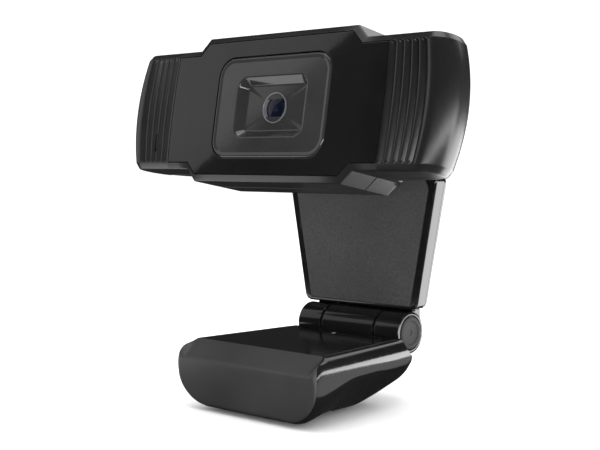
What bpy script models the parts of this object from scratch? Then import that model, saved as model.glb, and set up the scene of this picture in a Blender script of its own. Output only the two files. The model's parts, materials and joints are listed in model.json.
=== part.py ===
"""Clip-stand webcam: a wide camera head tilts on an upright arm, and the arm is hinged to a short foot.

Lengths are in millimetres and become metres where a mesh is made. X is to the viewer's right, the
camera looks along -Y, and Z is up. The foot stands on z = 0.
"""

import math

import bmesh
import bpy
from mathutils import Matrix, Vector

MM = 0.001

# Driving dimensions: head
HEAD_WIDTH = 80.0
HEAD_DEPTH = 15.2
BLOCK_HEIGHT = 28.2
BLOCK_WIDTH = 37.6
BLOCK_STEP = 2.3
WING_HEIGHT = 23.6
WING_DEPTH = 13.5
WING_BULGE = 2.4
WING_CORNER = 4.0
WING_POWER = 2 / 2.6
HEAD_WALL = 1.5
HEAD_SPLIT = 7.6
HEAD_TILT = math.radians(10.1)
PANEL_HALF = 26.7
PANEL_BORDER = 1.2
PANEL_THICK = 0.9
PANEL_FLOOR = 0.8
RIB_START = PANEL_HALF + 1.1
RIB_COUNT = 4
RIB_PITCH = 1.71
RIB_DEPTH = 0.5
BEZEL_WIDTH = 28.6
BEZEL_HEIGHT = 19.4
BEZEL_CORNER = 3.8
DISH_WIDTH = 17.4
DISH_HEIGHT = 11.4
DISH_DEPTH = 1.5
BEZEL_DEPTH = 2.7
LENS_RADIUS = 2.95
MIC_X = 30.4
MIC_Z = -6.6
MIC_RADIUS = 1.9
MIC_SLOT = (0.8, 3.6, 0.39)
INLET_X = -11.0
INLET_Z = 5.5
INLET_RADIUS = 2.6

# Driving dimensions: arm
AXIS_SPACING = 36.4
ARM_TOP_HALF = 19.0
ARM_BOTTOM_HALF = 14.4
ARM_SIDE_DEPTH = 2.6
ARM_BACK = 4.5
ARM_FRONT = -0.2
ARM_WALL = 1.2
PAD_BORDER = 1.55
PAD_THICK = 0.7

# Driving dimensions: foot
FOOT_REACH = 33.5
FOOT_HEIGHT = 12.6
FOOT_HALF_FRONT = 18.3
FOOT_HALF_REAR = 15.5
FOOT_WALL = 1.4
FOOT_DROP = 0.55
BAND_LENGTH = 4.0
BAND_DROP = 3.25
TOE_LENGTH = 3.0
HEEL_LENGTH = 13.1
HEEL_RISE = 7.2
REAR_LIP = -1.9
TOP_ROUND = 2.2
LOW_ROUND = 6.0
SIDE_LEAN = 1.6
FACE_LEAN = 0.055
LID_MARGIN = 1.9
CAP_THICK = 1.1
LID_THICK = 1.3
GRIP_PROUD = 0.4
GRIP_SEAT = 0.6
GRIP_SIZE = (19.0, 4.0)

# Driving dimensions: hinges
CLIP_RADIUS = 4.1
CLIP_HALF = 13.0
CLIP_KNUCKLE = 6.6
CLIP_PIN = 1.5
TILT_RADIUS = 3.6
TILT_HALF = 9.6
TILT_KNUCKLE = 5.0
TILT_PIN = 1.2
WASHER = 0.25
CAP_SINK = 0.7
CAP_WALL = 0.8

# Driving dimensions: screws
SCREW_X = 23.0
SCREW_HEAD = 1.9
SCREW_SHANK = 0.9
SCREW_SEAT = 9.6
BOSS = 2.4
FOOT_SCREW_X = 9.0
FOOT_SCREW_SINK = 2.4

# Clearances
SEAM = 0.12
RUN = 0.08
SWING = 0.4
FAR = 60.0

# Places that follow from the sizes above
FOOT_BOTTOM = -FOOT_DROP - FOOT_HEIGHT
AXIS_Y = (FOOT_REACH - ARM_BACK) / 2
AXIS_Z = GRIP_PROUD - FOOT_BOTTOM
HEAD_TO_AXIS = Vector((0, HEAD_DEPTH + 11.8, -2.5))
ARM_LOW = CLIP_RADIUS + 0.3
ARM_HIGH = AXIS_SPACING - TILT_RADIUS - SWING
HEEL = REAR_LIP - HEEL_LENGTH
FOOT_GRIPS = {"front": -FOOT_REACH + 6.5, "rear": -FOOT_REACH + 18.5}
FOOT_SCREW_Y = -FOOT_REACH + 13.5
CHAMFER = math.tan(math.pi / 8)

COLOURS = {
    "satin black": ((0.030, 0.030, 0.031), 0.45, 0.0),
    "gloss black": ((0.010, 0.010, 0.011), 0.12, 0.0),
    "dish grey": ((0.045, 0.045, 0.046), 0.30, 0.0),
    "pad grey": ((0.040, 0.040, 0.041), 0.80, 0.0),
    "rubber": ((0.020, 0.020, 0.020), 0.85, 0.0),
    "steel": ((0.55, 0.55, 0.56), 0.35, 1.0),
    "black steel": ((0.06, 0.06, 0.06), 0.45, 1.0),
    "lens glass": ((0.010, 0.014, 0.030), 0.05, 0.0),
    "lens rim": ((0.30, 0.30, 0.31), 0.35, 0.0),
    "board": ((0.010, 0.090, 0.040), 0.50, 0.0),
    "chip": ((0.020, 0.022, 0.028), 0.35, 0.0),
}


def new_collection(name):
    collection = bpy.data.collections.new(name)
    bpy.context.scene.collection.children.link(collection)
    return collection


def material(name):
    found = bpy.data.materials.get(name)
    if found:
        return found
    colour, roughness, metallic = COLOURS[name]
    made = bpy.data.materials.new(name)
    made.use_nodes = True
    shader = made.node_tree.nodes["Principled BSDF"]
    shader.inputs["Base Color"].default_value = (*colour, 1.0)
    shader.inputs["Roughness"].default_value = roughness
    shader.inputs["Metallic"].default_value = metallic
    return made


def empty(name, location, parent=None, tilt=0.0):
    made = bpy.data.objects.new(name, None)
    made.location = Vector(location) * MM
    made.rotation_euler.x = tilt
    made.parent = parent
    PARTS.objects.link(made)
    return made


def place(name, bm, parent, finish=None, offset=(0, 0, 0)):
    """A millimetre bmesh as a metre-sized object: a part if it has a finish, and otherwise a cutter."""
    bmesh.ops.recalc_face_normals(bm, faces=bm.faces[:])
    bmesh.ops.scale(bm, vec=(MM, MM, MM), verts=bm.verts[:])
    mesh = bpy.data.meshes.new(name)
    bm.to_mesh(mesh)
    bm.free()
    made = bpy.data.objects.new(name, mesh)
    made.parent = parent
    made.location = Vector(offset) * MM
    if finish:
        mesh.materials.append(material(finish))
        mesh.shade_smooth()
        mesh.set_sharp_from_angle(angle=math.radians(30))
        PARTS.objects.link(made)
    else:
        made.hide_render = True
        made.display_type = "WIRE"
        TOOLS.objects.link(made)
    return made


def boolean(target, other, operation="DIFFERENCE"):
    modifier = target.modifiers.new(f"{operation.lower()} {other.name}", "BOOLEAN")
    modifier.operation = operation
    modifier.object = other
    modifier.solver = "EXACT"


def box(low, high):
    bm = bmesh.new()
    bmesh.ops.create_cube(bm, size=1.0)
    low, high = Vector(low), Vector(high)
    bmesh.ops.scale(bm, vec=high - low, verts=bm.verts[:])
    bmesh.ops.translate(bm, vec=(high + low) / 2, verts=bm.verts[:])
    return bm


TURN_TO = {
    "X": Matrix.Rotation(math.pi / 2, 3, "Y"),
    "Y": Matrix.Rotation(-math.pi / 2, 3, "X"),
    "Z": Matrix.Identity(3),
}


def rod(radius, low, high, axis="X", across=(0, 0), sides=40, far_radius=None):
    """A cylinder or cone from low to high along an axis, with its centre line at across."""
    bm = bmesh.new()
    far = radius if far_radius is None else far_radius
    bmesh.ops.create_cone(
        bm, cap_ends=True, segments=sides, radius1=radius, radius2=far, depth=high - low
    )
    bmesh.ops.rotate(bm, matrix=TURN_TO[axis], verts=bm.verts[:])
    middle = (low + high) / 2
    centre = {
        "X": (middle, across[0], across[1]),
        "Y": (across[0], middle, across[1]),
        "Z": (across[0], across[1], middle),
    }[axis]
    bmesh.ops.translate(bm, vec=centre, verts=bm.verts[:])
    return bm


def prism(outline, axis, low, high):
    """A flat outline pushed along an axis. The outline lists the two other coordinates in order."""
    bm = bmesh.new()
    order = {"X": (2, 0, 1), "Y": (0, 2, 1), "Z": (0, 1, 2)}[axis]
    corners = [bm.verts.new([(a, b, low)[k] for k in order]) for a, b in outline]
    made = bmesh.ops.extrude_face_region(bm, geom=[bm.faces.new(corners)])
    push = Vector([(0, 0, high - low)[k] for k in order])
    moved = [v for v in made["geom"] if isinstance(v, bmesh.types.BMVert)]
    bmesh.ops.translate(bm, vec=push, verts=moved)
    return bm


def turned(profile, axis, sides=40, across=(0, 0)):
    """A closed profile of (radius, height) points spun about an axis."""
    bm = bmesh.new()
    ring = [bm.verts.new((r, 0, h)) for r, h in profile]
    edges = [bm.edges.new((a, b)) for a, b in zip(ring, ring[1:] + ring[:1])]
    bmesh.ops.spin(
        bm, geom=ring + edges, axis=(0, 0, 1), cent=(0, 0, 0), steps=sides,
        angle=math.tau, use_merge=True, use_duplicate=False,
    )
    bmesh.ops.remove_doubles(bm, verts=bm.verts[:], dist=0.001)
    bmesh.ops.rotate(bm, matrix=TURN_TO[axis], verts=bm.verts[:])
    shift = {"X": (0, *across), "Y": (across[0], 0, across[1]), "Z": (*across, 0)}[axis]
    bmesh.ops.translate(bm, vec=shift, verts=bm.verts[:])
    return bm


def loft(rings):
    """A solid skin over rings of points that have the same count."""
    bm = bmesh.new()
    rows = [[bm.verts.new(p) for p in ring] for ring in rings]
    count = len(rows[0])
    for lower, upper in zip(rows, rows[1:]):
        for k in range(count):
            n = (k + 1) % count
            bm.faces.new((lower[k], lower[n], upper[n], upper[k]))
    bm.faces.new(rows[0])
    bm.faces.new(rows[-1])
    return bm


def arc(centre, radius, start, end, steps):
    """Points on an arc between two angles in degrees."""
    angles = [math.radians(start + (end - start) * k / steps) for k in range(steps + 1)]
    return [(centre[0] + radius * math.cos(a), centre[1] + radius * math.sin(a)) for a in angles]


def rounded(width, height, corner, steps=5):
    """A rectangle with round corners, centred on the origin."""
    w, h = width / 2 - corner, height / 2 - corner
    points = []
    for k, (x, z) in enumerate(((w, h), (-w, h), (-w, -h), (w, -h))):
        points += arc((x, z), corner, 90 * k, 90 * k + 90, steps)
    return points


# Head shapes

def wing_outline(inset, flute, bulge):
    """Half of the head's plan, from the front centre round the end to the back centre."""
    half = HEAD_WIDTH / 2 - inset
    corner = WING_CORNER
    first = PANEL_HALF + 0.55
    squeeze = (half - corner - first) / (HEAD_WIDTH / 2 - corner - first)
    front = [(0.0, inset), (first, inset)]
    steps = 4
    for k in range(RIB_COUNT * steps + 1):
        dip = (1 - abs(math.sin(math.pi * k / steps))) * flute
        x = RIB_START + RIB_PITCH * k / steps
        front.append((first + (x - first) * squeeze, inset + dip))
    front.append((front[-1][0] + 1.1 * squeeze, inset))
    turn = arc((half - corner, inset + corner), corner, -90, 0, 6)[1:]
    back = []
    rise = WING_DEPTH - inset - (inset + corner)
    for k in range(1, 11):
        a = math.pi / 2 * k / 10
        x = half * math.cos(a) ** WING_POWER
        back.append((x, inset + corner + rise * math.sin(a) ** WING_POWER))
    back[-1] = (0.0, WING_DEPTH - inset)
    pull = WING_BULGE * bulge
    return [(x - pull * (x / half) ** 4, y) for x, y in front + turn + back]


def wings(inset, fluted):
    half = WING_HEIGHT / 2 - inset
    levels = [-1, -0.9, -0.87, -0.6, -0.3, 0, 0.3, 0.6, 0.87, 0.9, 1]
    rings = []
    for level in levels:
        depth = RIB_DEPTH if fluted and abs(level) < 0.88 else 0.0
        side = wing_outline(inset, depth, level**2)
        loop = side + [(-x, y) for x, y in side[-2:0:-1]]
        rings.append([(x, y, level * half) for x, y in loop])
    return loft(rings)


def block(inset, front, back):
    top = BLOCK_HEIGHT / 2 - inset
    wide = BLOCK_WIDTH / 2 - inset * CHAMFER
    low = top - BLOCK_STEP - 0.3
    outer = wide + BLOCK_STEP + 0.3
    outline = [(wide, top), (outer, low), (outer, -low), (wide, -top)]
    return prism(outline + [(-x, z) for x, z in reversed(outline)], "Y", front, back)


def panel_outline(shrink):
    """The glossy panel: the block's outline and the wings' height together, drawn in by a border."""
    top = BLOCK_HEIGHT / 2 - PANEL_BORDER - shrink
    wing = WING_HEIGHT / 2 - PANEL_BORDER - shrink
    x_top = BLOCK_WIDTH / 2 - (PANEL_BORDER + shrink) * CHAMFER
    x_step = x_top + top - wing
    x_end = PANEL_HALF - shrink
    quarter = [(x_end, wing), (x_step, wing), (x_top, top)]
    right = quarter[::-1] + [(x, -z) for x, z in quarter]
    return right + [(-x, z) for x, z in reversed(right)]


def head_envelope(name, inset, fluted):
    body = place(f"{name} wings", wings(inset, fluted), HEAD, offset=HEAD_AT)
    middle = place(f"{name} block", block(inset, inset, HEAD_DEPTH - inset), HEAD, offset=HEAD_AT)
    return body, middle


def add_head():
    at = HEAD_AT
    seam = SEAM / 2
    front = place("front_cover", wings(0, True), HEAD, "satin black", at)
    rear = place("rear_cover", wings(0, False), HEAD, "satin black", at)
    outer_block = place("block outside", block(0, 0, HEAD_DEPTH), HEAD, offset=at)
    for cover in (front, rear):
        boolean(cover, outer_block, "UNION")
    keep_front = box((-FAR, HEAD_SPLIT - seam, -FAR), (FAR, FAR, FAR))
    keep_rear = box((-FAR, -FAR, -FAR), (FAR, HEAD_SPLIT + seam, FAR))
    boolean(front, place("behind the split", keep_front, HEAD, offset=at))
    boolean(rear, place("ahead of the split", keep_rear, HEAD, offset=at))
    hollow_wings, hollow_block = head_envelope("hollow", HEAD_WALL, False)
    wall = PANEL_THICK + PANEL_FLOOR
    kept_wall = place("front wall", box((-FAR, -FAR, -FAR), (FAR, wall, FAR)), HEAD, offset=at)
    for hollow in (hollow_wings, hollow_block):
        boolean(hollow, kept_wall)
    for cover in (front, rear):
        boolean(cover, hollow_wings)
        boolean(cover, hollow_block)
    recess = prism(panel_outline(0), "Y", -1, PANEL_THICK)
    boolean(front, place("panel recess", recess, HEAD, offset=at))
    add_bosses(front, rear)
    add_panel(front)
    add_optics()
    add_neck(rear)
    add_cable_inlet(rear)


def add_bosses(front, rear):
    """Two bosses on each cover take the housing screws, which go in from behind."""
    for side, label in ((-1, "left"), (1, "right")):
        x = side * SCREW_X
        post = rod(BOSS, PANEL_THICK + 0.3, HEAD_SPLIT - SEAM / 2, "Y", (x, 0), 20)
        boolean(front, place(f"front boss {label}", post, HEAD, offset=HEAD_AT), "UNION")
        pilot = rod(SCREW_SHANK + RUN, PANEL_THICK + 1.6, HEAD_SPLIT + 1, "Y", (x, 0), 20)
        boolean(front, place(f"pilot {label}", pilot, HEAD, offset=HEAD_AT))
        post = rod(BOSS + 0.5, HEAD_SPLIT + SEAM / 2, WING_DEPTH - 1.0, "Y", (x, 0), 20)
        boolean(rear, place(f"rear boss {label}", post, HEAD, offset=HEAD_AT), "UNION")
        through = rod(SCREW_SHANK + RUN, HEAD_SPLIT - 1, WING_DEPTH + 1, "Y", (x, 0), 20)
        boolean(rear, place(f"screw way {label}", through, HEAD, offset=HEAD_AT))
        sink = rod(SCREW_HEAD + RUN, SCREW_SEAT, WING_DEPTH + 2, "Y", (x, 0), 20)
        boolean(rear, place(f"screw sink {label}", sink, HEAD, offset=HEAD_AT))
        add_screw(f"head_screw_{label}", HEAD, HEAD_AT, "Y", (x, 0), SCREW_SEAT, -1, 6.0, SCREW_HEAD)


def add_screw(name, parent, at, axis, across, seat, way, length, head):
    """A pan-head screw whose head rests at seat; way is the sign of the direction its tip points."""
    shank = SCREW_SHANK
    height = head * 0.6
    seat -= way * RUN
    profile = [
        (0.0, way * length), (shank * 0.6, way * length), (shank, way * (length - 0.5)),
        (shank, 0.0), (head, 0.0), (head, -way * height * 0.6),
        (head * 0.75, -way * height), (0.0, -way * height),
    ]
    made = place(name, turned(profile, axis, 20, across), parent, "steel", at)
    driver = box((-head * 0.55, -0.18, -0.18), (head * 0.55, 0.18, 0.18))
    shift = {"Y": (0, seat, 0), "Z": (0, 0, seat)}[axis]
    made.location += Vector(shift) * MM
    if axis == "Z":
        slot_at = (across[0], across[1], seat - way * height)
    else:
        slot_at = (across[0], seat - way * height, across[1])
    slot = place(f"{name} slot", driver, parent, offset=Vector(at) + Vector(slot_at))
    boolean(made, slot)


def add_panel(front):
    at = HEAD_AT
    panel = place(
        "front_panel", prism(panel_outline(SEAM), "Y", 0.0, PANEL_THICK - SEAM), HEAD, "gloss black", at
    )
    hole = prism(rounded(BEZEL_WIDTH, BEZEL_HEIGHT, BEZEL_CORNER), "Y", -1, BEZEL_DEPTH + 1)
    window = place("bezel window", hole, HEAD, offset=at)
    boolean(panel, window)
    boolean(front, window)
    shape = rounded(BEZEL_WIDTH - 2 * SEAM, BEZEL_HEIGHT - 2 * SEAM, BEZEL_CORNER - SEAM)
    bezel = place("lens_bezel", prism(shape, "Y", 0.0, BEZEL_DEPTH), HEAD, "dish grey", at)
    floor = DISH_DEPTH * 0.9
    rings = []
    for depth, grow in ((-0.2, 0.24), (0.0, 0.0), (DISH_DEPTH, -2 * floor)):
        loop = rounded(DISH_WIDTH + grow, DISH_HEIGHT + grow, 1.2)
        rings.append([(x, depth, z) for x, z in loop])
    boolean(bezel, place("dish", loft(rings), HEAD, offset=at))
    bore = rod(LENS_RADIUS + SEAM, -1, BEZEL_DEPTH + 1, "Y", (0, 0), 40)
    boolean(bezel, place("lens hole", bore, HEAD, offset=at))
    slot_at = Vector(at) + Vector((-MIC_X, 0, MIC_Z))
    cup = rod(MIC_RADIUS + 0.7, HEAD_WALL - 0.3, HEAD_WALL + 2.4, "Y", (0, 0), 24)
    boolean(front, place("microphone cup", cup, HEAD, offset=slot_at), "UNION")
    seat = rod(MIC_RADIUS + SEAM, wall_behind(), 6.0, "Y", (0, 0), 24)
    boolean(front, place("microphone seat", seat, HEAD, offset=slot_at))
    slot = prism(rounded(*MIC_SLOT, 3), "Y", -1, 6.0)
    boolean(front, place("microphone slot", slot, HEAD, offset=slot_at))
    capsule = rod(MIC_RADIUS, wall_behind() + SEAM, wall_behind() + 1.7, "Y", (0, 0), 24)
    place("microphone", capsule, HEAD, "steel", slot_at)


def wall_behind():
    return PANEL_THICK + PANEL_FLOOR + 0.1


def add_optics():
    at = HEAD_AT
    lip = 0.55
    rim = [
        (LENS_RADIUS - lip, 0.7), (LENS_RADIUS - 0.15, 0.7), (LENS_RADIUS, 0.85), (LENS_RADIUS, 6.4),
        (LENS_RADIUS - 1.1, 6.4), (LENS_RADIUS - 1.1, 3.2), (LENS_RADIUS - lip, 3.2),
    ]
    place("lens_barrel", turned(rim, "Y", 40), HEAD, "lens rim", at)
    glass = LENS_RADIUS - lip - SEAM
    dome = [(0.0, 0.75), (glass * 0.5, 0.9), (glass * 0.8, 1.2), (glass, 1.6), (glass, 3.1), (0.0, 3.1)]
    place("lens_glass", turned(dome, "Y", 40), HEAD, "lens glass", at)
    board_front = HEAD_SPLIT + 0.4
    housing = box((-5, 3.6, -5), (5, board_front - SEAM, 5))
    holder = place("lens_holder", housing, HEAD, "satin black", at)
    bore = rod(LENS_RADIUS + RUN, 2.0, board_front + 2, "Y", (0, 0), 40)
    boolean(holder, place("holder bore", bore, HEAD, offset=at))
    sensor = box((-1.8, board_front - 0.9, -1.8), (1.8, board_front - SEAM, 1.8))
    place("image_sensor", sensor, HEAD, "chip", at)
    board = box((-18, board_front, -9), (18, board_front + 1.0, 9))
    place("main_board", board, HEAD, "board", at)


def add_neck(rear):
    """The neck joins the rear cover to the middle knuckle of the tilt hinge."""
    at = HEAD_AT
    hinge_y = HEAD_TO_AXIS.y
    hinge_z = HEAD_TO_AXIS.z
    knuckle = rod(TILT_RADIUS, -TILT_KNUCKLE, TILT_KNUCKLE, "X", (hinge_y, hinge_z), 40)
    boolean(rear, place("tilt knuckle", knuckle, HEAD, offset=at), "UNION")
    neck = box(
        (-TILT_KNUCKLE, HEAD_DEPTH - 1.0, hinge_z - 2.6), (TILT_KNUCKLE, hinge_y, hinge_z + 2.6)
    )
    boolean(rear, place("neck", neck, HEAD, offset=at), "UNION")
    bore = rod(TILT_PIN + RUN, -FAR, FAR, "X", (hinge_y, hinge_z), 32)
    boolean(rear, place("tilt bore in neck", bore, HEAD, offset=at))


def add_cable_inlet(rear):
    """A rubber bush lines the hole where the lead comes in."""
    at = Vector(HEAD_AT) + Vector((INLET_X, 0, INLET_Z))
    hole = rod(INLET_RADIUS, HEAD_DEPTH - 2 * HEAD_WALL, HEAD_DEPTH + 2, "Y", (0, 0), 28)
    boolean(rear, place("inlet hole", hole, HEAD, offset=at))
    outer = INLET_RADIUS - SEAM
    bore = 1.5
    brim = HEAD_WALL + SEAM
    bush = [
        (bore, 0.0), (outer, 0.0), (outer, brim), (INLET_RADIUS + 0.8, brim),
        (INLET_RADIUS + 0.5, brim + 0.88), (bore, brim + 0.88),
    ]
    made = place("cable_inlet", turned(bush, "Y", 28), HEAD, "rubber", at)
    made.location.y += (HEAD_DEPTH - HEAD_WALL) * MM


# Arm shapes

def arm_half(z):
    """Half the arm's width at a height above the clip hinge."""
    share = (z - ARM_LOW) / (ARM_HIGH - ARM_LOW)
    return ARM_BOTTOM_HALF + (ARM_TOP_HALF - ARM_BOTTOM_HALF) * share


def arm_outline(inset, low=None):
    bottom = ARM_LOW + inset if low is None else low
    top = ARM_HIGH - inset
    cut = 1.2
    right = [
        (arm_half(bottom) - inset - cut, bottom),
        (arm_half(bottom + cut) - inset, bottom + cut),
    ]
    corner = 3.0
    right += arc((arm_half(top) - inset - corner, top - corner), corner, 0, 90, 4)
    return right + [(-x, z) for x, z in reversed(right)]


def add_arm():
    front = ARM_FRONT
    side = ARM_SIDE_DEPTH
    shell = place("arm_shell", prism(arm_outline(0), "Y", front, side), ARM, "satin black")
    tray = prism(arm_outline(PAD_BORDER), "Y", front - 1, front + PAD_THICK)
    boolean(shell, place("pad tray", tray, ARM))
    inner = front + PAD_THICK + ARM_WALL
    hollow = prism(arm_outline(ARM_WALL + 0.8), "Y", inner, side + 1)
    boolean(shell, place("arm hollow", hollow, ARM))
    pad = prism(arm_outline(PAD_BORDER + SEAM), "Y", front, front + PAD_THICK - SEAM)
    place("grip_pad", pad, ARM, "pad grey")
    add_arm_back(side + SEAM)
    add_clip_ears(shell)
    add_tilt_ears(shell)


def add_arm_back(start):
    rings = []
    for depth, inset in ((start, 0.25), (start + 0.7, 0.6), (ARM_BACK - 0.5, 1.6), (ARM_BACK, 2.6)):
        rings.append([(x, depth, z) for x, z in arm_outline(inset)])
    back = place("arm_back", loft(rings), ARM, "gloss black")
    for label, z in (("lower", ARM_LOW + 6.5), ("upper", ARM_HIGH - 6.5)):
        seat = ARM_BACK - 1.25
        sink = rod(SCREW_HEAD + RUN, seat, ARM_BACK + 1, "Y", (0, z), 20)
        boolean(back, place(f"arm screw sink {label}", sink, ARM))
        way = rod(SCREW_SHANK + RUN, start - 1, ARM_BACK + 1, "Y", (0, z), 20)
        boolean(back, place(f"arm screw way {label}", way, ARM))
        add_screw(f"arm_screw_{label}", ARM, (0, 0, 0), "Y", (0, z), seat, -1, 1.6, SCREW_HEAD)


def ear_pair(radius, inner, outer, height):
    """Two knuckles on one axis, one each side."""
    pair = []
    for side in (-1, 1):
        low, high = sorted((side * inner, side * outer))
        pair.append((side, rod(radius, low, high, "X", (0, height), 40)))
    return pair


def add_clip_ears(shell):
    """The arm's two lower knuckles, with a web behind each."""
    inner = CLIP_KNUCKLE + WASHER + 2 * RUN
    for side, ear in ear_pair(CLIP_RADIUS, inner, CLIP_HALF, 0.0):
        boolean(shell, place(f"clip ear {side}", ear, ARM), "UNION")
        low, high = sorted((side * inner, side * (CLIP_HALF + 0.4)))
        web = box((low, 0.6, 0.3), (high, CLIP_RADIUS, ARM_LOW))
        web_top = box((low, 0.6, ARM_LOW - 0.5), (high, ARM_SIDE_DEPTH, ARM_LOW + 1.5))
        boolean(shell, place(f"clip web {side}", web, ARM), "UNION")
        boolean(shell, place(f"clip web top {side}", web_top, ARM), "UNION")
    clear = CLIP_RADIUS * 0.75
    lip = box((-inner - 0.5, clear, clear), (inner + 0.5, CLIP_RADIUS - 0.05, ARM_LOW - 0.05))
    boolean(shell, place("lip behind the knuckle", lip, ARM), "UNION")
    bore = rod(CLIP_PIN + RUN, -FAR, FAR, "X", (0, 0), 32)
    boolean(shell, place("clip bore in arm", bore, ARM))
    for side, label in ((-1, "left"), (1, "right")):
        low, high = sorted((side * (CLIP_HALF - CAP_SINK), side * (CLIP_HALF + 2)))
        sink = rod(CLIP_RADIUS - CAP_WALL, low, high, "X", (0, 0), 40)
        boolean(shell, place(f"cap sink {label}", sink, ARM))
        edge = CLIP_RADIUS - CAP_WALL - SEAM
        profile = [
            (0.0, 0.0), (edge, 0.0), (edge, 0.6), (edge - 0.3, 0.8), (0.0, 0.8)
        ]
        flipped = [(r, side * h) for r, h in profile]
        cap = place(f"hinge_cap_{label}", turned(flipped, "X", 40), ARM, "satin black")
        cap.location.x += side * (CLIP_HALF - CAP_SINK + SEAM) * MM
    length = CLIP_HALF - CAP_SINK - SEAM
    place("clip_pin", rod(CLIP_PIN, -length, length, "X", (0, 0), 32), ARM, "steel")
    add_washers("clip_washer", ARM, CLIP_KNUCKLE, CLIP_RADIUS - 0.6, CLIP_PIN, 0.0)


def add_washers(name, parent, knuckle, radius, pin, height):
    for side, label in ((-1, "left"), (1, "right")):
        profile = [(pin + RUN, 0.0), (radius, 0.0), (radius, WASHER), (pin + RUN, WASHER)]
        flipped = [(r, side * h) for r, h in profile]
        made = place(f"{name}_{label}", turned(flipped, "X", 32, (0, height)), parent, "black steel")
        made.location.x += side * (knuckle + RUN) * MM


def add_tilt_ears(shell):
    """The arm's two upper knuckles, which carry the head's neck between them."""
    inner = TILT_KNUCKLE + WASHER + 2 * RUN
    for side, ear in ear_pair(TILT_RADIUS, inner, TILT_HALF, AXIS_SPACING):
        boolean(shell, place(f"tilt ear {side}", ear, ARM), "UNION")
        low, high = sorted((side * inner, side * TILT_HALF))
        web = box((low, ARM_FRONT, ARM_HIGH - 1.5), (high, ARM_SIDE_DEPTH - 0.2, AXIS_SPACING - 1.8))
        boolean(shell, place(f"tilt web {side}", web, ARM), "UNION")
    bore = rod(TILT_PIN + RUN, -FAR, FAR, "X", (0, AXIS_SPACING), 32)
    boolean(shell, place("tilt bore in arm", bore, ARM))
    pin = rod(TILT_PIN, -TILT_HALF, TILT_HALF, "X", (0, AXIS_SPACING), 32)
    place("tilt_pin", pin, ARM, "steel")
    add_washers("tilt_washer", ARM, TILT_KNUCKLE, TILT_RADIUS - 0.6, TILT_PIN, AXIS_SPACING)


# Foot shapes

def foot_half(y):
    share = (y + FOOT_REACH) / (FOOT_REACH - CLIP_RADIUS)
    return FOOT_HALF_FRONT + (FOOT_HALF_REAR - FOOT_HALF_FRONT) * share


def foot_section(y, inset):
    """The foot's rounded cross-section at one distance along it."""
    front = -FOOT_REACH
    top = -FOOT_DROP - inset
    band = front + BAND_LENGTH
    if y < band:
        top = -FOOT_DROP - BAND_DROP * (band - y) / BAND_LENGTH - inset
    bottom = FOOT_BOTTOM + inset
    toe = front + TOE_LENGTH
    if y < toe:
        bottom += ((toe - y) / TOE_LENGTH) ** 2
    if y > HEEL:
        bottom += HEEL_RISE * ((y - HEEL) / HEEL_LENGTH) ** 2.4
    half = foot_half(y) - inset
    r_top = max(0.5, TOP_ROUND - inset)
    r_low = min(LOW_ROUND - inset, (top - bottom) * 0.55)
    points = arc((half - r_top, top - r_top), r_top, 90, 0, 4)
    points += arc((half - r_low, bottom + r_low), r_low, 0, -90, 7)
    points = [(x + SIDE_LEAN * (z + FOOT_DROP) / FOOT_HEIGHT, z) for x, z in points]
    loop = points + [(-x, z) for x, z in reversed(points)]
    return [(x, y, z) for x, z in loop]


def foot_solid(inset, front, back):
    """The foot's outside, or its hollow, as a loft from front to back."""
    toe = [-FOOT_REACH + TOE_LENGTH * share for share in (0, 0.2, 0.57, 1)]
    marks = toe + [-FOOT_REACH + BAND_LENGTH, (HEEL - FOOT_REACH + BAND_LENGTH) / 2]
    marks += [HEEL + HEEL_LENGTH * share for share in (0, 0.19, 0.38, 0.53, 0.69, 0.84, 1)]
    places = [front] + [y for y in marks if front + 0.05 < y < back - 0.05] + [back]
    rings = [foot_section(y, inset) for y in places]
    lean_front(rings[0])
    return loft(rings)


def lean_front(ring):
    """The front face leans back a little towards the bottom edge."""
    top = max(p[2] for p in ring)
    for k, (x, y, z) in enumerate(ring):
        ring[k] = (x, y + (top - z) * FACE_LEAN, z)


def cap_profile(grow):
    """A side view of the band and the front face, as thick as the cap."""
    front = -FOOT_REACH
    band_back = front + BAND_LENGTH
    thick = CAP_THICK + grow
    return [
        (front - 2, FOOT_BOTTOM - 2), (front - 2, 2), (band_back + grow, 2),
        (band_back + grow, -FOOT_DROP - thick * 0.9),
        (front + thick + 0.9, -FOOT_DROP - BAND_DROP - 0.6),
        (front + thick + 1.2, FOOT_BOTTOM - 2),
    ]


def add_foot():
    shell = place("foot_shell", foot_solid(0, -FOOT_REACH, REAR_LIP), FOOT, "gloss black")
    cap = place("front_cap", foot_solid(0, -FOOT_REACH, REAR_LIP), FOOT, "satin black")
    boolean(cap, place("cap keep", prism(cap_profile(0), "X", -FAR, FAR), FOOT), "INTERSECT")
    boolean(shell, place("cap seat", prism(cap_profile(SEAM), "X", -FAR, FAR), FOOT))
    hollow_front = -FOOT_REACH + BAND_LENGTH + CAP_THICK
    hollow = foot_solid(FOOT_WALL, hollow_front, -CLIP_RADIUS - 4.4)
    boolean(shell, place("foot hollow", hollow, FOOT))
    add_lid(shell)
    add_foot_knuckle(shell)
    add_grips(shell)


def lid_outline(shrink):
    front = -FOOT_REACH + BAND_LENGTH + SEAM + 0.05
    back = -CLIP_RADIUS - SWING - 1.0
    corners = [(foot_half(front) - LID_MARGIN, front), (foot_half(back) - LID_MARGIN, back)]
    half = [(x - shrink, y) for x, y in corners]
    half[0] = (half[0][0], front + shrink)
    half[1] = (half[1][0], back - shrink)
    return half + [(-x, y) for x, y in reversed(half)]


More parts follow.
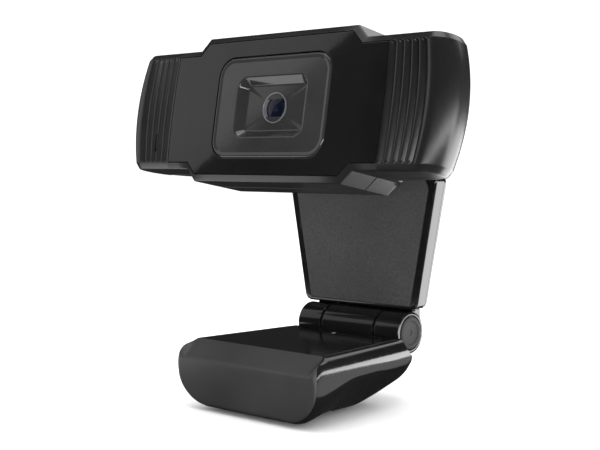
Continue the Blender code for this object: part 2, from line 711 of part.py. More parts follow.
def add_lid(shell):
    top = -FOOT_DROP
    low = top - LID_THICK
    seat = prism(lid_outline(0), "Z", low, top + 2)
    boolean(shell, place("lid seat", seat, FOOT))
    place("foot_lid", prism(lid_outline(SEAM), "Z", low + SEAM, top), FOOT, "gloss black")
    seat_face = FOOT_BOTTOM + FOOT_SCREW_SINK
    for side, label in ((-1, "left"), (1, "right")):
        at = (side * FOOT_SCREW_X, FOOT_SCREW_Y)
        post = rod(2.0, FOOT_BOTTOM + FOOT_WALL - 0.3, low - SEAM, "Z", at, 20)
        boolean(shell, place(f"foot boss {label}", post, FOOT), "UNION")
        boss = rod(3.4, FOOT_BOTTOM + 0.6, seat_face + 1.2, "Z", at, 20)
        boolean(shell, place(f"foot seat boss {label}", boss, FOOT), "UNION")
        way = rod(SCREW_SHANK + RUN, FOOT_BOTTOM - 1, low + 1, "Z", at, 20)
        boolean(shell, place(f"foot screw way {label}", way, FOOT))
        sink = rod(SCREW_HEAD + RUN, FOOT_BOTTOM - 1, seat_face, "Z", at, 20)
        boolean(shell, place(f"foot screw sink {label}", sink, FOOT))
        name = f"foot_screw_{label}"
        add_screw(name, FOOT, (0, 0, 0), "Z", at, seat_face, 1, low - 0.2 - seat_face, SCREW_HEAD)


def add_foot_knuckle(shell):
    """The middle knuckle of the clip hinge, and room for the arm's knuckles to turn."""
    room = CLIP_RADIUS + 0.25
    for side in (-1, 1):
        low, high = sorted((side * (CLIP_KNUCKLE + 0.02), side * FAR))
        sweep = rod(room, low, high, "X", (0, 0), 48)
        boolean(shell, place(f"ear room {side}", sweep, FOOT))
    knuckle = rod(CLIP_RADIUS, -CLIP_KNUCKLE, CLIP_KNUCKLE, "X", (0, 0), 48)
    boolean(shell, place("foot knuckle", knuckle, FOOT), "UNION")
    bore = rod(CLIP_PIN + RUN, -FAR, FAR, "X", (0, 0), 32)
    boolean(shell, place("clip bore in foot", bore, FOOT))


def add_grips(shell):
    """Two rubber strips under the foot, which it stands on."""
    wide, long = GRIP_SIZE[0] / 2, GRIP_SIZE[1] / 2
    for label, y in FOOT_GRIPS.items():
        seat = box((-wide, y - long, FOOT_BOTTOM - 1), (wide, y + long, FOOT_BOTTOM + GRIP_SEAT))
        boolean(shell, place(f"grip seat {label}", seat, FOOT))
        strip = box(
            (-wide + SEAM, y - long + SEAM, FOOT_BOTTOM - GRIP_PROUD),
            (wide - SEAM, y + long - SEAM, FOOT_BOTTOM + GRIP_SEAT - SEAM),
        )
        place(f"foot_grip_{label}", strip, FOOT, "rubber")


for old in list(bpy.data.objects):
    bpy.data.objects.remove(old, do_unlink=True)

PARTS = new_collection("clip_stand_webcam")
TOOLS = new_collection("cutters")
FOOT = empty("clip_axis_foot", (0, AXIS_Y, AXIS_Z))
ARM = empty("clip_axis", (0, AXIS_Y, AXIS_Z))
HEAD = empty("tilt_axis", (0, 0, AXIS_SPACING), ARM, -HEAD_TILT)
HEAD_AT = tuple(-HEAD_TO_AXIS)

add_foot()
add_arm()
add_head()
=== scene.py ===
"""The looks of the clip-stand webcam: finely shaped casings, finishes, a pale floor and soft studio light.

Pieces are shaped in millimetres in the frame of the part they belong to, and then moved into place.
"""

import json
import math

import bmesh
import bpy
from mathutils import Matrix, Vector


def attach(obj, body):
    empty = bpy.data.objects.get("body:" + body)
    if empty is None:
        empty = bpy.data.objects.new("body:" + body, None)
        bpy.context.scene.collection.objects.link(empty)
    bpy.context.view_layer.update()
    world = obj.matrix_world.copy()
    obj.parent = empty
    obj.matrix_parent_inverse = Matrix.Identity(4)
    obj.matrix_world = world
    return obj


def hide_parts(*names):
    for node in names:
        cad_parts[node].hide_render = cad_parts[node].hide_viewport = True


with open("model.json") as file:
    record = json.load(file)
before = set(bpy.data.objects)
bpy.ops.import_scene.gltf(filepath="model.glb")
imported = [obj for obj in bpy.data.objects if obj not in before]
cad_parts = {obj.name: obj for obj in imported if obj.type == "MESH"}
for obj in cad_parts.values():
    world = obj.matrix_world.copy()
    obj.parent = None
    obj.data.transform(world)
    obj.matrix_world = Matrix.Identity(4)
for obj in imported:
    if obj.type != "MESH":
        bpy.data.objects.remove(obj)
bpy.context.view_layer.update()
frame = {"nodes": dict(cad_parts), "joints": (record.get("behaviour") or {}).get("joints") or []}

MM = 0.001

# Head
HEAD_TILT = math.radians(10.1)
HEAD_TO_AXIS = Vector((0.0, 27.0, -2.5))
HEAD_HALF = 40.0
BLOCK_TOP = 14.1
BLOCK_HALF = 18.8
BLOCK_STEP = 2.3
BLOCK_BACK = 15.2
WING_TOP = 11.8
WING_BACK = 13.5
WING_CORNER = 4.0
WING_BULGE = 2.4
WING_POWER = 2 / 2.6
SPLIT = 7.6
SEAM = 0.15
COVER_WALL = 1.0
BORDER = 1.2
RECESS = 0.9
PANEL_HALF = 26.7
PANEL_GAP = 0.1
RIB_START = 27.8
RIB_PITCH = 1.71
RIB_COUNT = 4
RIB_DEPTH = 0.5
BEZEL = (28.6, 19.4, 3.8)
DISH = (17.4, 11.4, 2.2)
DISH_DEPTH = 1.5
LENS_RADIUS = 2.95
MIC = Vector((-30.4, 0.0, -6.6))
MIC_SLOT = (0.8, 3.6)
TILT_RADIUS = 3.6
TILT_KNUCKLE = 5.0
TILT_HALF = 9.6
TILT_PIN = 1.28

# Arm
AXIS_SPACING = 36.4
ARM_LOW = 4.4
ARM_HIGH = 32.4
ARM_BOTTOM_HALF = 14.4
ARM_TOP_HALF = 19.0
ARM_FRONT = -0.2
ARM_SIDE = 2.6
ARM_BACK = 4.5
PAD_BORDER = 1.55
PAD_FOOT = 0.45
PAD_THICK = 0.7
CLIP_RADIUS = 4.1
CLIP_KNUCKLE = 6.6
CLIP_HALF = 13.0
CLIP_PIN = 1.58
EAR_GAP = 0.41

# Foot
FOOT_REACH = 33.5
FOOT_DROP = 0.55
FOOT_HEIGHT = 12.6
FOOT_BOTTOM = -FOOT_DROP - FOOT_HEIGHT
FOOT_HALF_FRONT = 18.3
FOOT_HALF_REAR = 15.5
BAND_LENGTH = 4.0
BAND_DROP = 3.25
REAR_LIP = -1.9
TOP_ROUND = 2.2
TOP_ROUND_HIGH = 4.0
RIM_ROUND = 2.6
LOW_ROUND = 6.0
LOW_ROUND_REAR = 8.0
LOW_FLAT = 9.7
SIDE_LEAN = 1.6
FACE_LEAN = 0.055
LID_MARGIN = 1.9
HEEL_LENGTH = 11.1
HEEL_RISE = 3.7
LID_DEPTH = 1.2

JOINTS = {joint["name"]: Vector(joint["pos_m"]) for joint in frame["joints"]}
TO_METRES = Matrix.Scale(MM, 4)
FOOT_SPACE = Matrix.Translation(JOINTS["clip_hinge"]) @ TO_METRES
ARM_SPACE = FOOT_SPACE
HEAD_SPACE = (
    Matrix.Translation(JOINTS["head_tilt"])
    @ Matrix.Rotation(-HEAD_TILT, 4, "X")
    @ TO_METRES
    @ Matrix.Translation(-HEAD_TO_AXIS)
)


# Finishes

class Field:
    """A value that varies over a surface: arithmetic on it adds Math nodes."""

    def __init__(self, finish, socket):
        self.finish = finish
        self.socket = socket

    def math(self, operation, first, second):
        return self.finish.node("ShaderNodeMath", {"operation": operation}, {0: first, 1: second})

    def __add__(self, other):
        return self.math("ADD", self, other)

    __radd__ = __add__

    def __sub__(self, other):
        return self.math("SUBTRACT", self, other)

    def __rsub__(self, other):
        return self.math("SUBTRACT", other, self)

    def __mul__(self, other):
        return self.math("MULTIPLY", self, other)

    __rmul__ = __mul__

    def __gt__(self, other):
        return self.math("GREATER_THAN", self, other)

    def __lt__(self, other):
        return self.math("LESS_THAN", self, other)


class Finish:
    """A material under construction. Its patterns read millimetres of object space."""

    def __init__(self, name, roughness=0.4, metallic=0.0, specular=0.5):
        self.material = bpy.data.materials.new(name)
        self.material.use_nodes = True
        self.tree = self.material.node_tree
        self.shader = self.tree.nodes["Principled BSDF"]
        self.set("Roughness", roughness)
        self.set("Metallic", metallic)
        self.set("Specular IOR Level", specular)
        metres = self.node("ShaderNodeTexCoord", output="Object")
        self.place = self.node(
            "ShaderNodeVectorMath", {"operation": "SCALE"}, {"Vector": metres, "Scale": 1 / MM}
        )

    def set(self, name, value):
        """Puts a link or a value on one of the shader's sockets."""
        if isinstance(value, Field):
            self.tree.links.new(value.socket, self.shader.inputs[name])
        else:
            self.shader.inputs[name].default_value = value

    def node(self, kind, settings=None, values=None, output=0):
        made = self.tree.nodes.new(kind)
        for key, value in (settings or {}).items():
            if key == "stops":
                while len(made.color_ramp.elements) < len(value):
                    made.color_ramp.elements.new(0.5)
                for element, (position, colour) in zip(made.color_ramp.elements, value):
                    element.position = position
                    element.color = (*colour, 1.0)
            else:
                setattr(made, key, value)
        for key, value in (values or {}).items():
            if isinstance(value, Field):
                self.tree.links.new(value.socket, made.inputs[key])
            else:
                made.inputs[key].default_value = value
        return Field(self, made.outputs[output])

    def noise(self, per_mm, detail=3.0, roughness=0.55, stretch=None):
        """Smooth noise from 0 to 1, with so many bumps to a millimetre."""
        place = self.place
        if stretch:
            place = self.node(
                "ShaderNodeVectorMath", {"operation": "MULTIPLY"}, {0: place, 1: stretch}
            )
        values = {"Vector": place, "Scale": per_mm, "Detail": detail, "Roughness": roughness}
        return self.node("ShaderNodeTexNoise", {"noise_dimensions": "3D"}, values)

    def cells(self, per_mm, feature="F1"):
        values = {"Vector": self.place, "Scale": per_mm}
        return self.node("ShaderNodeTexVoronoi", {"feature": feature}, values, "Distance")

    def spread(self, value, low, high, to_low=0.0, to_high=1.0):
        """The value's range from low to high, spread over another range and held inside it."""
        values = {"Value": value, 1: low, 2: high, 3: to_low, 4: to_high}
        return self.node("ShaderNodeMapRange", {"clamp": True}, values)

    def blend(self, first, second, share):
        """One colour turning into another as share goes from 0 to 1."""
        values = {0: share}
        for index, colour in ((6, first), (7, second)):
            values[index] = colour if isinstance(colour, Field) else (*colour, 1.0)
        return self.node("ShaderNodeMix", {"data_type": "RGBA"}, values, 2)

    def bump(self, height, depth_mm, strength=1.0):
        values = {"Height": height, "Distance": depth_mm * MM, "Strength": strength}
        self.set("Normal", self.node("ShaderNodeBump", None, values))

    def dust(self, share=0.02, per_mm=1.6):
        """1 on sparse specks of dust."""
        specks = self.cells(per_mm)
        return (specks < share) * self.spread(self.noise(0.08), 0.45, 0.65)


def moulded(name, colour, roughness, grain, depth, specular=0.5, scratch=0.0):
    """Moulded plastic: a fine grain, cloudy gloss, faint hairlines and a little dust."""
    made = Finish(name, roughness, 0.0, specular)
    cloud = made.noise(0.05, 4.0)
    fine = made.noise(grain, 2.0)
    dust = made.dust()
    lighter = [min(1.0, c * 1.22 + 0.002) for c in colour]
    darker = [c * 0.84 for c in colour]
    base = made.blend(darker, lighter, made.spread(cloud, 0.3, 0.7))
    made.set("Base Color", made.blend(base, (0.16, 0.16, 0.155), dust * 0.5))
    hairlines = made.noise(0.9, 1.0, 0.4, (0.15, 1.0, 7.0))
    lines = made.spread(hairlines, 0.66, 0.70) * scratch
    rough = made.spread(cloud, 0.25, 0.75, roughness * 0.86, roughness * 1.14)
    made.set("Roughness", rough + dust * 0.35 + lines)
    made.bump(fine + dust * 0.8, depth)
    return made.material


def metal(name, colour, roughness, stretch):
    """Turned or plated steel: brushed lines and stains."""
    made = Finish(name, roughness, 1.0)
    brushed = made.noise(1.4, 3.0, 0.6, stretch)
    stain = made.noise(0.25, 4.0)
    darker = [c * 0.7 for c in colour]
    base = made.blend(darker, colour, made.spread(stain, 0.3, 0.6))
    made.set("Base Color", base)
    made.set("Roughness", made.spread(brushed, 0.3, 0.7, roughness * 0.7, roughness * 1.3))
    made.bump(brushed, 0.01)
    return made.material


def pad_rubber():
    """The grip pad: matt moulded rubber with a pebbled skin, its valleys darkened with painted shade."""
    made = Finish("pad rubber", 0.75, 0.0, 0.35)
    pebble = made.cells(3.2)
    fine = made.noise(9.0, 2.0)
    cloud = made.noise(0.07, 3.0)
    base = made.blend((0.034, 0.034, 0.0346), (0.048, 0.048, 0.0487), made.spread(cloud, 0.3, 0.7))
    # Painted shade: the base colour darkens in the valleys between the pebbles.
    valley_shade = made.spread(pebble, 0.25, 0.6)
    made.set("Base Color", made.blend(base, (0.022, 0.022, 0.022), valley_shade * 0.6))
    made.set("Roughness", made.spread(fine, 0.3, 0.7, 0.68, 0.86))
    made.bump(fine * 0.3 - pebble, 0.03)
    return made.material


def foot_rubber():
    """Soft black rubber with lighter, dusty patches at random."""
    made = Finish("foot rubber", 0.8, 0.0, 0.3)
    cloud = made.noise(0.4, 4.0)
    fine = made.noise(6.0, 2.0)
    base = made.blend((0.014, 0.014, 0.014), (0.05, 0.049, 0.047), made.spread(cloud, 0.5, 0.8))
    made.set("Base Color", base)
    made.set("Roughness", made.spread(cloud, 0.3, 0.7, 0.7, 0.92))
    made.bump(fine, 0.02)
    return made.material


def coated_glass():
    """The front element: near-black glass whose base colour turns bluer where the surface turns away from
    the view, a painted sheen of the blue coating.
    """
    made = Finish("coated lens glass", 0.03, 0.0, 0.15)
    made.set("Coat Roughness", 0.02)
    # Painted sheen: the base colour shifts to blue as the surface turns away from the view.
    facing = made.node("ShaderNodeLayerWeight", None, {"Blend": 0.35}, "Facing")
    tint_and_sheen = made.blend((0.002, 0.003, 0.007), (0.005, 0.007, 0.018), facing)
    smear = made.spread(made.noise(0.9, 3.0), 0.52, 0.72)
    made.set("Base Color", made.blend(tint_and_sheen, (0.012, 0.012, 0.016), smear))
    made.set("Roughness", 0.02 + smear * 0.08)
    made.set("Coat Weight", 0.12 - smear * 0.06)
    made.bump(made.noise(0.6, 1.0), 0.002)
    return made.material


def circuit_board():
    """Green solder mask over tracks and vias."""
    made = Finish("circuit board", 0.35)
    brick = {"Vector": made.place, "Scale": 0.5, "Mortar Size": 0.09, "Mortar Smooth": 0.2}
    tracks = made.node("ShaderNodeTexBrick", None, brick, "Fac")
    vias = made.cells(0.5) < 0.16
    mask = made.blend((0.006, 0.075, 0.032), (0.012, 0.13, 0.06), tracks)
    made.set("Base Color", made.blend(mask, (0.62, 0.52, 0.30), vias))
    made.set("Metallic", vias * 0.9)
    made.set("Roughness", made.spread(made.noise(2.0), 0.3, 0.7, 0.28, 0.42))
    made.bump(tracks + vias, 0.03)
    return made.material


def silicon():
    """A dark chip with a faint grid of cells under its glass."""
    made = Finish("sensor chip", 0.18)
    grid = {"Vector": made.place, "Scale": 6.0, "Mortar Size": 0.02}
    cells = made.node("ShaderNodeTexBrick", None, grid, "Fac")
    base = made.blend((0.012, 0.014, 0.022), (0.05, 0.055, 0.075), cells)
    made.set("Base Color", base)
    made.set("Roughness", made.spread(made.noise(3.0), 0.3, 0.7, 0.12, 0.26))
    made.bump(cells, 0.005)
    return made.material


SATIN = moulded("satin black plastic", (0.006, 0.006, 0.0062), 0.30, 5.0, 0.006, 0.5, 0.05)
CAP_SATIN = moulded("fine satin plastic", (0.021, 0.021, 0.0213), 0.45, 5.5, 0.008, 0.5, 0.05)
GLOSS = moulded("gloss black plastic", (0.004, 0.004, 0.0042), 0.12, 0.8, 0.004, 0.5, 0.10)
PANEL = moulded("polished front panel", (0.004, 0.004, 0.0042), 0.04, 0.7, 0.002, 0.5, 0.05)
DISH_GREY = moulded("grey bezel plastic", (0.018, 0.018, 0.0183), 0.07, 0.9, 0.002, 0.5, 0.05)
MATT = moulded("matt black plastic", (0.024, 0.024, 0.0243), 0.70, 5.0, 0.010, 0.25)
PAD = pad_rubber()
RUBBER = foot_rubber()
STEEL = metal("zinc plated steel", (0.60, 0.60, 0.61), 0.32, (1.0, 8.0, 1.0))
DARK_STEEL = metal("blackened steel", (0.07, 0.07, 0.072), 0.40, (8.0, 1.0, 1.0))
# Painted shade: a near-black finish standing in for the shade inside the microphone's slot.
SLOT_SHADE = moulded("painted slot shade", (0.002, 0.002, 0.002), 0.8, 4.0, 0.004, 0.1)
LENS_RIM = moulded("lens rim", (0.11, 0.11, 0.113), 0.35, 4.0, 0.004)
GLASS = coated_glass()
BOARD = circuit_board()
CHIP = silicon()


# Mesh tools

def sheet(columns, rows, place, closed=False):
    """A grid whose vertex at column i and row k goes to place(i, k). A closed one joins its ends."""
    bm = bmesh.new()
    bmesh.ops.create_grid(bm, x_segments=columns - 1, y_segments=rows - 1, size=1.0)
    for vert in bm.verts:
        i = round((vert.co.x + 1) / 2 * (columns - 1))
        k = round((vert.co.y + 1) / 2 * (rows - 1))
        vert.co = place(i, k)
    if closed:
        bmesh.ops.remove_doubles(bm, verts=bm.verts[:], dist=0.0005)
    bmesh.ops.dissolve_degenerate(bm, dist=0.0005, edges=bm.edges[:])
    return bm


def lofted(loops, caps=True):
    """A skin through closed loops that have the same count of points, with flat ends."""
    count = len(loops[0])
    bm = sheet(count + 1, len(loops), lambda i, k: Vector(loops[k][i % count]), True)
    if caps:
        bmesh.ops.holes_fill(bm, edges=bm.edges[:], sides=0)
    bmesh.ops.recalc_face_normals(bm, faces=bm.faces[:])
    return bm


def turned(profile, axis="X", at=(0.0, 0.0, 0.0), steps=64):
    """A profile of (radius, height) points spun about an axis."""
    bm = bmesh.new()
    points = [bm.verts.new((r, 0.0, h)) for r, h in profile]
    edges = [bm.edges.new(pair) for pair in zip(points, points[1:])]
    bmesh.ops.spin(
        bm, geom=points + edges, axis=(0, 0, 1), cent=(0, 0, 0), steps=steps,
        angle=math.tau, use_merge=True, use_duplicate=False,
    )
    bmesh.ops.remove_doubles(bm, verts=bm.verts[:], dist=0.001)
    turn = {"X": (math.pi / 2, "Y"), "Y": (-math.pi / 2, "X"), "Z": (0.0, "Z")}[axis]
    bmesh.ops.rotate(bm, matrix=Matrix.Rotation(turn[0], 3, turn[1]), verts=bm.verts[:])
    bmesh.ops.translate(bm, vec=at, verts=bm.verts[:])
    bmesh.ops.recalc_face_normals(bm, faces=bm.faces[:])
    return bm


def soft_box(low, high, round_by, segments=3):
    """A box with rounded edges."""
    bm = bmesh.new()
    bmesh.ops.create_cube(bm, size=1.0)
    low, high = Vector(low), Vector(high)
    bmesh.ops.scale(bm, vec=high - low, verts=bm.verts[:])
    bmesh.ops.translate(bm, vec=(high + low) / 2, verts=bm.verts[:])
    bmesh.ops.bevel(
        bm, geom=bm.edges[:], offset=round_by, affect="EDGES", segments=segments, profile=0.5,
        material=-1,
    )
    return bm


def joined(*parts):
    """Several shapes in one mesh."""
    whole = bmesh.new()
    for part in parts:
        scratch = bpy.data.meshes.new("scratch")
        part.to_mesh(scratch)
        part.free()
        whole.from_mesh(scratch)
        bpy.data.meshes.remove(scratch)
    return whole


def arc(centre, radius, start, end, steps):
    angles = [math.radians(start + (end - start) * k / steps) for k in range(steps + 1)]
    return [(centre[0] + radius * math.cos(a), centre[1] + radius * math.sin(a)) for a in angles]


def rounded(width, height, corner, steps=8):
    w, h = width / 2 - corner, height / 2 - corner
    points = []
    for k, (x, z) in enumerate(((w, h), (-w, h), (-w, -h), (w, -h))):
        points += arc((x, z), corner, 90 * k, 90 * k + 90, steps)
    return points


def new_object(name, bm, space):
    bmesh.ops.transform(bm, matrix=space, verts=bm.verts[:])
    mesh = bpy.data.meshes.new(name)
    bm.to_mesh(mesh)
    bm.free()
    made = bpy.data.objects.new(name, mesh)
    bpy.context.scene.collection.objects.link(made)
    return made


def settle(piece):
    """Turns a piece's modifiers into its mesh."""
    graph = bpy.context.evaluated_depsgraph_get()
    mesh = bpy.data.meshes.new_from_object(piece.evaluated_get(graph))
    piece.modifiers.clear()
    piece.data = mesh


def wall(piece, thickness):
    """Gives an open skin a wall on its inner side."""
    solid = piece.modifiers.new("wall", "SOLIDIFY")
    solid.thickness = thickness * MM
    solid.offset = -1.0
    settle(piece)


def cut(piece, space, *cutters, join=False):
    """Cuts shapes out of a piece, or joins them to it."""
    tools = []
    for shape in cutters:
        tool = new_object("tool", shape, space)
        change = piece.modifiers.new("cut", "BOOLEAN")
        change.operation = "UNION" if join else "DIFFERENCE"
        change.object = tool
        tools.append(tool)
    settle(piece)
    for tool in tools:
        bpy.data.objects.remove(tool, do_unlink=True)


def merge(piece, space, *parts):
    """Adds closed shapes to a piece's mesh."""
    added = joined(*parts)
    bmesh.ops.transform(added, matrix=space, verts=added.verts[:])
    added.from_mesh(piece.data)
    added.to_mesh(piece.data)
    added.free()


def dress(piece, finish, body, slot, *nodes, sharp=28.0):
    """The last step for every piece: its finish, shading, body and the CAD nodes it stands for."""
    piece.data.materials.clear()
    piece.data.materials.append(finish)
    piece.data.shade_smooth()
    piece.data.set_sharp_from_angle(angle=math.radians(sharp))
    even = piece.modifiers.new("even normals", "WEIGHTED_NORMAL")
    even.keep_sharp = True
    even.weight = 100
    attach(piece, body)
    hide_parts(*nodes)
    return piece


# Head

def bulged(point):
    """The head narrows towards its top and bottom edges, most at its ends."""
    x, y, z = point
    pull = WING_BULGE * (x / HEAD_HALF) ** 4 * (z / WING_TOP) ** 2
    return Vector((math.copysign(abs(x) - pull, x) if x else 0.0, y, z))


def wing_back(turn):
    """A point on the wing's rounded end and back, turn going from 0 at the side to 1 at the middle."""
    a = math.pi / 2 * turn
    x = HEAD_HALF * math.cos(a) ** WING_POWER
    y = WING_CORNER + (WING_BACK - WING_CORNER) * math.sin(a) ** WING_POWER
    return x, y


def turn_at(depth):
    """How far round the wing's end its back reaches a depth."""
    share = (depth - WING_CORNER) / (WING_BACK - WING_CORNER)
    return math.asin(share ** (1 / WING_POWER)) / (math.pi / 2)


def rib_depth(x):
    """Round ribs between sharp grooves, from the panel's edge to the head's end."""
    last = RIB_START + RIB_COUNT * RIB_PITCH
    if x < RIB_START:
        return RIB_DEPTH * (1 - math.cos(math.pi / 2 * (x - PANEL_HALF) / (RIB_START - PANEL_HALF)))
    if x <= last:
        return RIB_DEPTH * (1 - abs(math.sin(math.pi * (x - RIB_START) / RIB_PITCH)))
    return RIB_DEPTH * (1 - math.sin(math.pi / 2 * min(1.0, (x - last) / 1.5)))


def front_plan():
    """Half of the front cover's plan, outwards: (x, y, top, corner, sunk) with its grooves left out."""
    plan = [(x, 0.0, BLOCK_TOP, 0, 1) for x in (0.0, 7.0, BEZEL[0] / 2 - 0.3)]
    plan += [(BLOCK_HALF, 0.0, BLOCK_TOP, 1, 1), (BLOCK_HALF + BLOCK_STEP, 0.0, WING_TOP, 1, 1)]
    plan += [(24.0, 0.0, WING_TOP, 0, 1), (PANEL_HALF, 0.0, WING_TOP, 0, 1)]
    plan += [(PANEL_HALF, 0.0, WING_TOP, 0, 0)]
    fine = 10
    first = [PANEL_HALF + (RIB_START - PANEL_HALF) * k / 4 for k in (1, 2, 3)]
    ribs = [RIB_START + RIB_PITCH * k / fine for k in range(RIB_COUNT * fine + 1)]
    last = [ribs[-1] + (HEAD_HALF - WING_CORNER - ribs[-1]) * k / 5 for k in range(1, 5)]
    plan += [(x, 0.0, WING_TOP, 0, 0) for x in first + ribs + last]
    turn = arc((HEAD_HALF - WING_CORNER, WING_CORNER), WING_CORNER, -90, 0, 10)
    plan += [(x, y, WING_TOP, 0, 0) for x, y in turn]
    reach = turn_at(SPLIT - SEAM)
    plan += [(*wing_back(reach * k / 5), WING_TOP, 0, 0) for k in range(1, 6)]
    x, y = wing_back(turn_at(SPLIT))
    return plan + [(x - SEAM, SPLIT, WING_TOP, 0, 0)]


def rear_plan():
    """Half of the rear cover's plan, outwards, in the same form."""
    step = BLOCK_HALF + BLOCK_STEP
    plan = [(x, BLOCK_BACK, BLOCK_TOP, 0, 0) for x in (0.0, 9.0)]
    plan += [(BLOCK_HALF, BLOCK_BACK, BLOCK_TOP, 1, 0), (step, BLOCK_BACK, WING_TOP, 1, 0)]
    round_off = arc((step, BLOCK_BACK - 0.8), 0.8, 90, 0, 5)[1:]
    plan += [(x, y, WING_TOP, 0, 0) for x, y in round_off]
    start = 1.0
    while wing_back(start)[0] < step + 1.2:
        start -= 0.005
    stop = turn_at(SPLIT + SEAM)
    steps = 26
    for k in range(steps + 1):
        x, y = wing_back(start + (stop - start) * k / steps)
        plan.append((x, y, WING_TOP, 0, 0))
    x, y = wing_back(turn_at(SPLIT))
    return plan + [(x - SEAM, SPLIT, WING_TOP, 0, 0)]


def inward(plan, i):
    """The unit vector into the head at one station of its plan."""
    a = plan[max(i - 1, 0)]
    b = plan[min(i + 1, len(plan) - 1)]
    along = Vector((b[0] - a[0], b[1] - a[1]))
    side = Vector((-along.y, along.x)).normalized()
    return side if side.dot(Vector((plan[i][0] * 0.2, plan[i][1] - SPLIT))) < 0 else -side


def cover_skin(plan, edge, levels, ribbed):
    """A cover's outer skin: each station of the plan runs from the split over the top edge, down the
    face and back under to the split. edge lists (depth, drop) pairs from the split to the face."""
    front = plan[0][1] < SPLIT
    half = len(plan)
    normals = [inward(plan, min(i, half - 3)) for i in range(half)]
    flat_end = HEAD_HALF - WING_CORNER
    turning = [i for i in range(half) if plan[i][0] > flat_end and i > half // 2]
    first_turn = turning[0] - 1
    last_x = plan[-1][0] - edge[2][0]
    drops = edge[-1][1]
    count = 2 * len(edge) + len(levels)

    def place(i, k):
        sign = 1 if i >= half - 1 else -1
        index = abs(i - (half - 1))
        x, y, top, corner, sunk = plan[index]
        upper = 1 if k < count / 2 else -1
        row = min(k, count - 1 - k)
        if row < len(edge):
            depth, drop = edge[row]
            z = (top - drop) * upper
            x -= corner * drop * math.tan(math.pi / 8)
            if row < 2:
                y = depth
                if index > first_turn:
                    share = (index - first_turn) / (half - 1 - first_turn)
                    x = plan[first_turn][0] + (last_x - plan[first_turn][0]) * share
            else:
                x += normals[index].x * depth
                y += normals[index].y * depth
                y = min(y, SPLIT) if front else max(y, SPLIT)
        else:
            level = levels[k - len(edge)]
            z = (top - drops) * level
            x -= corner * drops * math.tan(math.pi / 8) * abs(level)
            if sunk:
                y += RECESS
            elif ribbed and y < WING_CORNER and x < flat_end:
                fade = min(1.0, (1 - abs(level)) * top / 0.35)
                y += rib_depth(x) * fade
        return bulged((sign * x, y, z))

    return sheet(2 * half - 1, count, place)


def add_mic_slot():
    """A near-black plug set into the left wing where the microphone's slot is: painted shade standing in for
    the slot's hollow.
    """
    loops = []
    for shrink, depth in ((0.06, 1.4), (0.0, 1.3), (0.0, 0.0), (0.05, -0.02), (0.15, 0.0), (0.2, 0.06)):
        width, height = MIC_SLOT[0] - 2 * shrink, MIC_SLOT[1] - 2 * shrink
        points = rounded(width, height, width / 2 - 0.01, 6)
        loops.append([(MIC.x + x, depth, MIC.z + z) for x, z in points])
    slot = new_object("microphone_slot_painted_shade", lofted(loops), HEAD_SPACE)
    dress(slot, SLOT_SHADE, "head", "satin_black")


def outline_half(depth):
    """Half the head's width at one depth behind its face."""
    if depth < WING_CORNER:
        return HEAD_HALF - WING_CORNER + math.sqrt(max(0.0, WING_CORNER**2 - (WING_CORNER - depth) ** 2))
    turn = turn_at(min(depth, WING_BACK))
    return HEAD_HALF * max(0.0, math.cos(math.pi / 2 * turn)) ** WING_POWER


def held_in(cover):
    """Keeps a cover's folded corners inside the wings' outline."""
    to_head = HEAD_SPACE.inverted()
    for vert in cover.data.vertices:
        place = to_head @ vert.co
        if abs(place.x) < 28.0:
            continue
        if abs(place.z) > WING_TOP + 0.002:
            place.z = math.copysign(WING_TOP - 0.4, place.z)
        half = outline_half(max(0.0, place.y))
        widest = half - WING_BULGE * (half / HEAD_HALF) ** 4 * (place.z / WING_TOP) ** 2
        if abs(place.x) > widest + 0.03:
            place.x = math.copysign(widest - 0.3, place.x)
        vert.co = HEAD_SPACE @ place


def spaced(low, high, steps):
    return [low + (high - low) * k / steps for k in range(steps + 1)]


def add_front_cover():
    edge = [(SPLIT, SEAM), (SPLIT - SEAM, 0.0), (0.95, 0.0), (0.72, 0.06), (0.55, 0.18)]
    edge += [(0.10, 1.04), (0.03, 1.14), (0.0, BORDER)]
    window = (BEZEL[1] / 2 - 0.3) / (BLOCK_TOP - BORDER)
    upper = [1.0, 0.985, 0.97, 0.94, 0.88, 0.82] + [window] + spaced(0.68, 0.08, 8)
    levels = upper + [0.0] + [-s for s in reversed(upper)]
    skin = cover_skin(front_plan(), edge, levels, True)
    half_x, half_z = BEZEL[0] / 2, BEZEL[1] / 2
    inside = [
        f for f in skin.faces
        if abs(f.calc_center_median().x) < half_x and abs(f.calc_center_median().z) < half_z
        and f.calc_center_median().y < 1.5
    ]
    bmesh.ops.delete(skin, geom=inside, context="FACES")
    bmesh.ops.recalc_face_normals(skin, faces=skin.faces[:])
    face_out(skin, Vector((0, -1, 0)))
    cover = new_object("front_cover_shell", skin, HEAD_SPACE)
    wall(cover, COVER_WALL)
    held_in(cover)
    dress(cover, SATIN, "head", "satin_black", "front_cover")


def face_out(bm, way):
    """Turns a skin so that the faces on its far side along way point that way."""
    bm.normal_update()
    facing = [f for f in bm.faces if abs(f.normal.dot(way)) > 0.7]
    furthest = max(facing, key=lambda f: f.calc_center_median().dot(way))
    if furthest.normal.dot(way) < 0:
        bmesh.ops.reverse_faces(bm, faces=bm.faces[:])


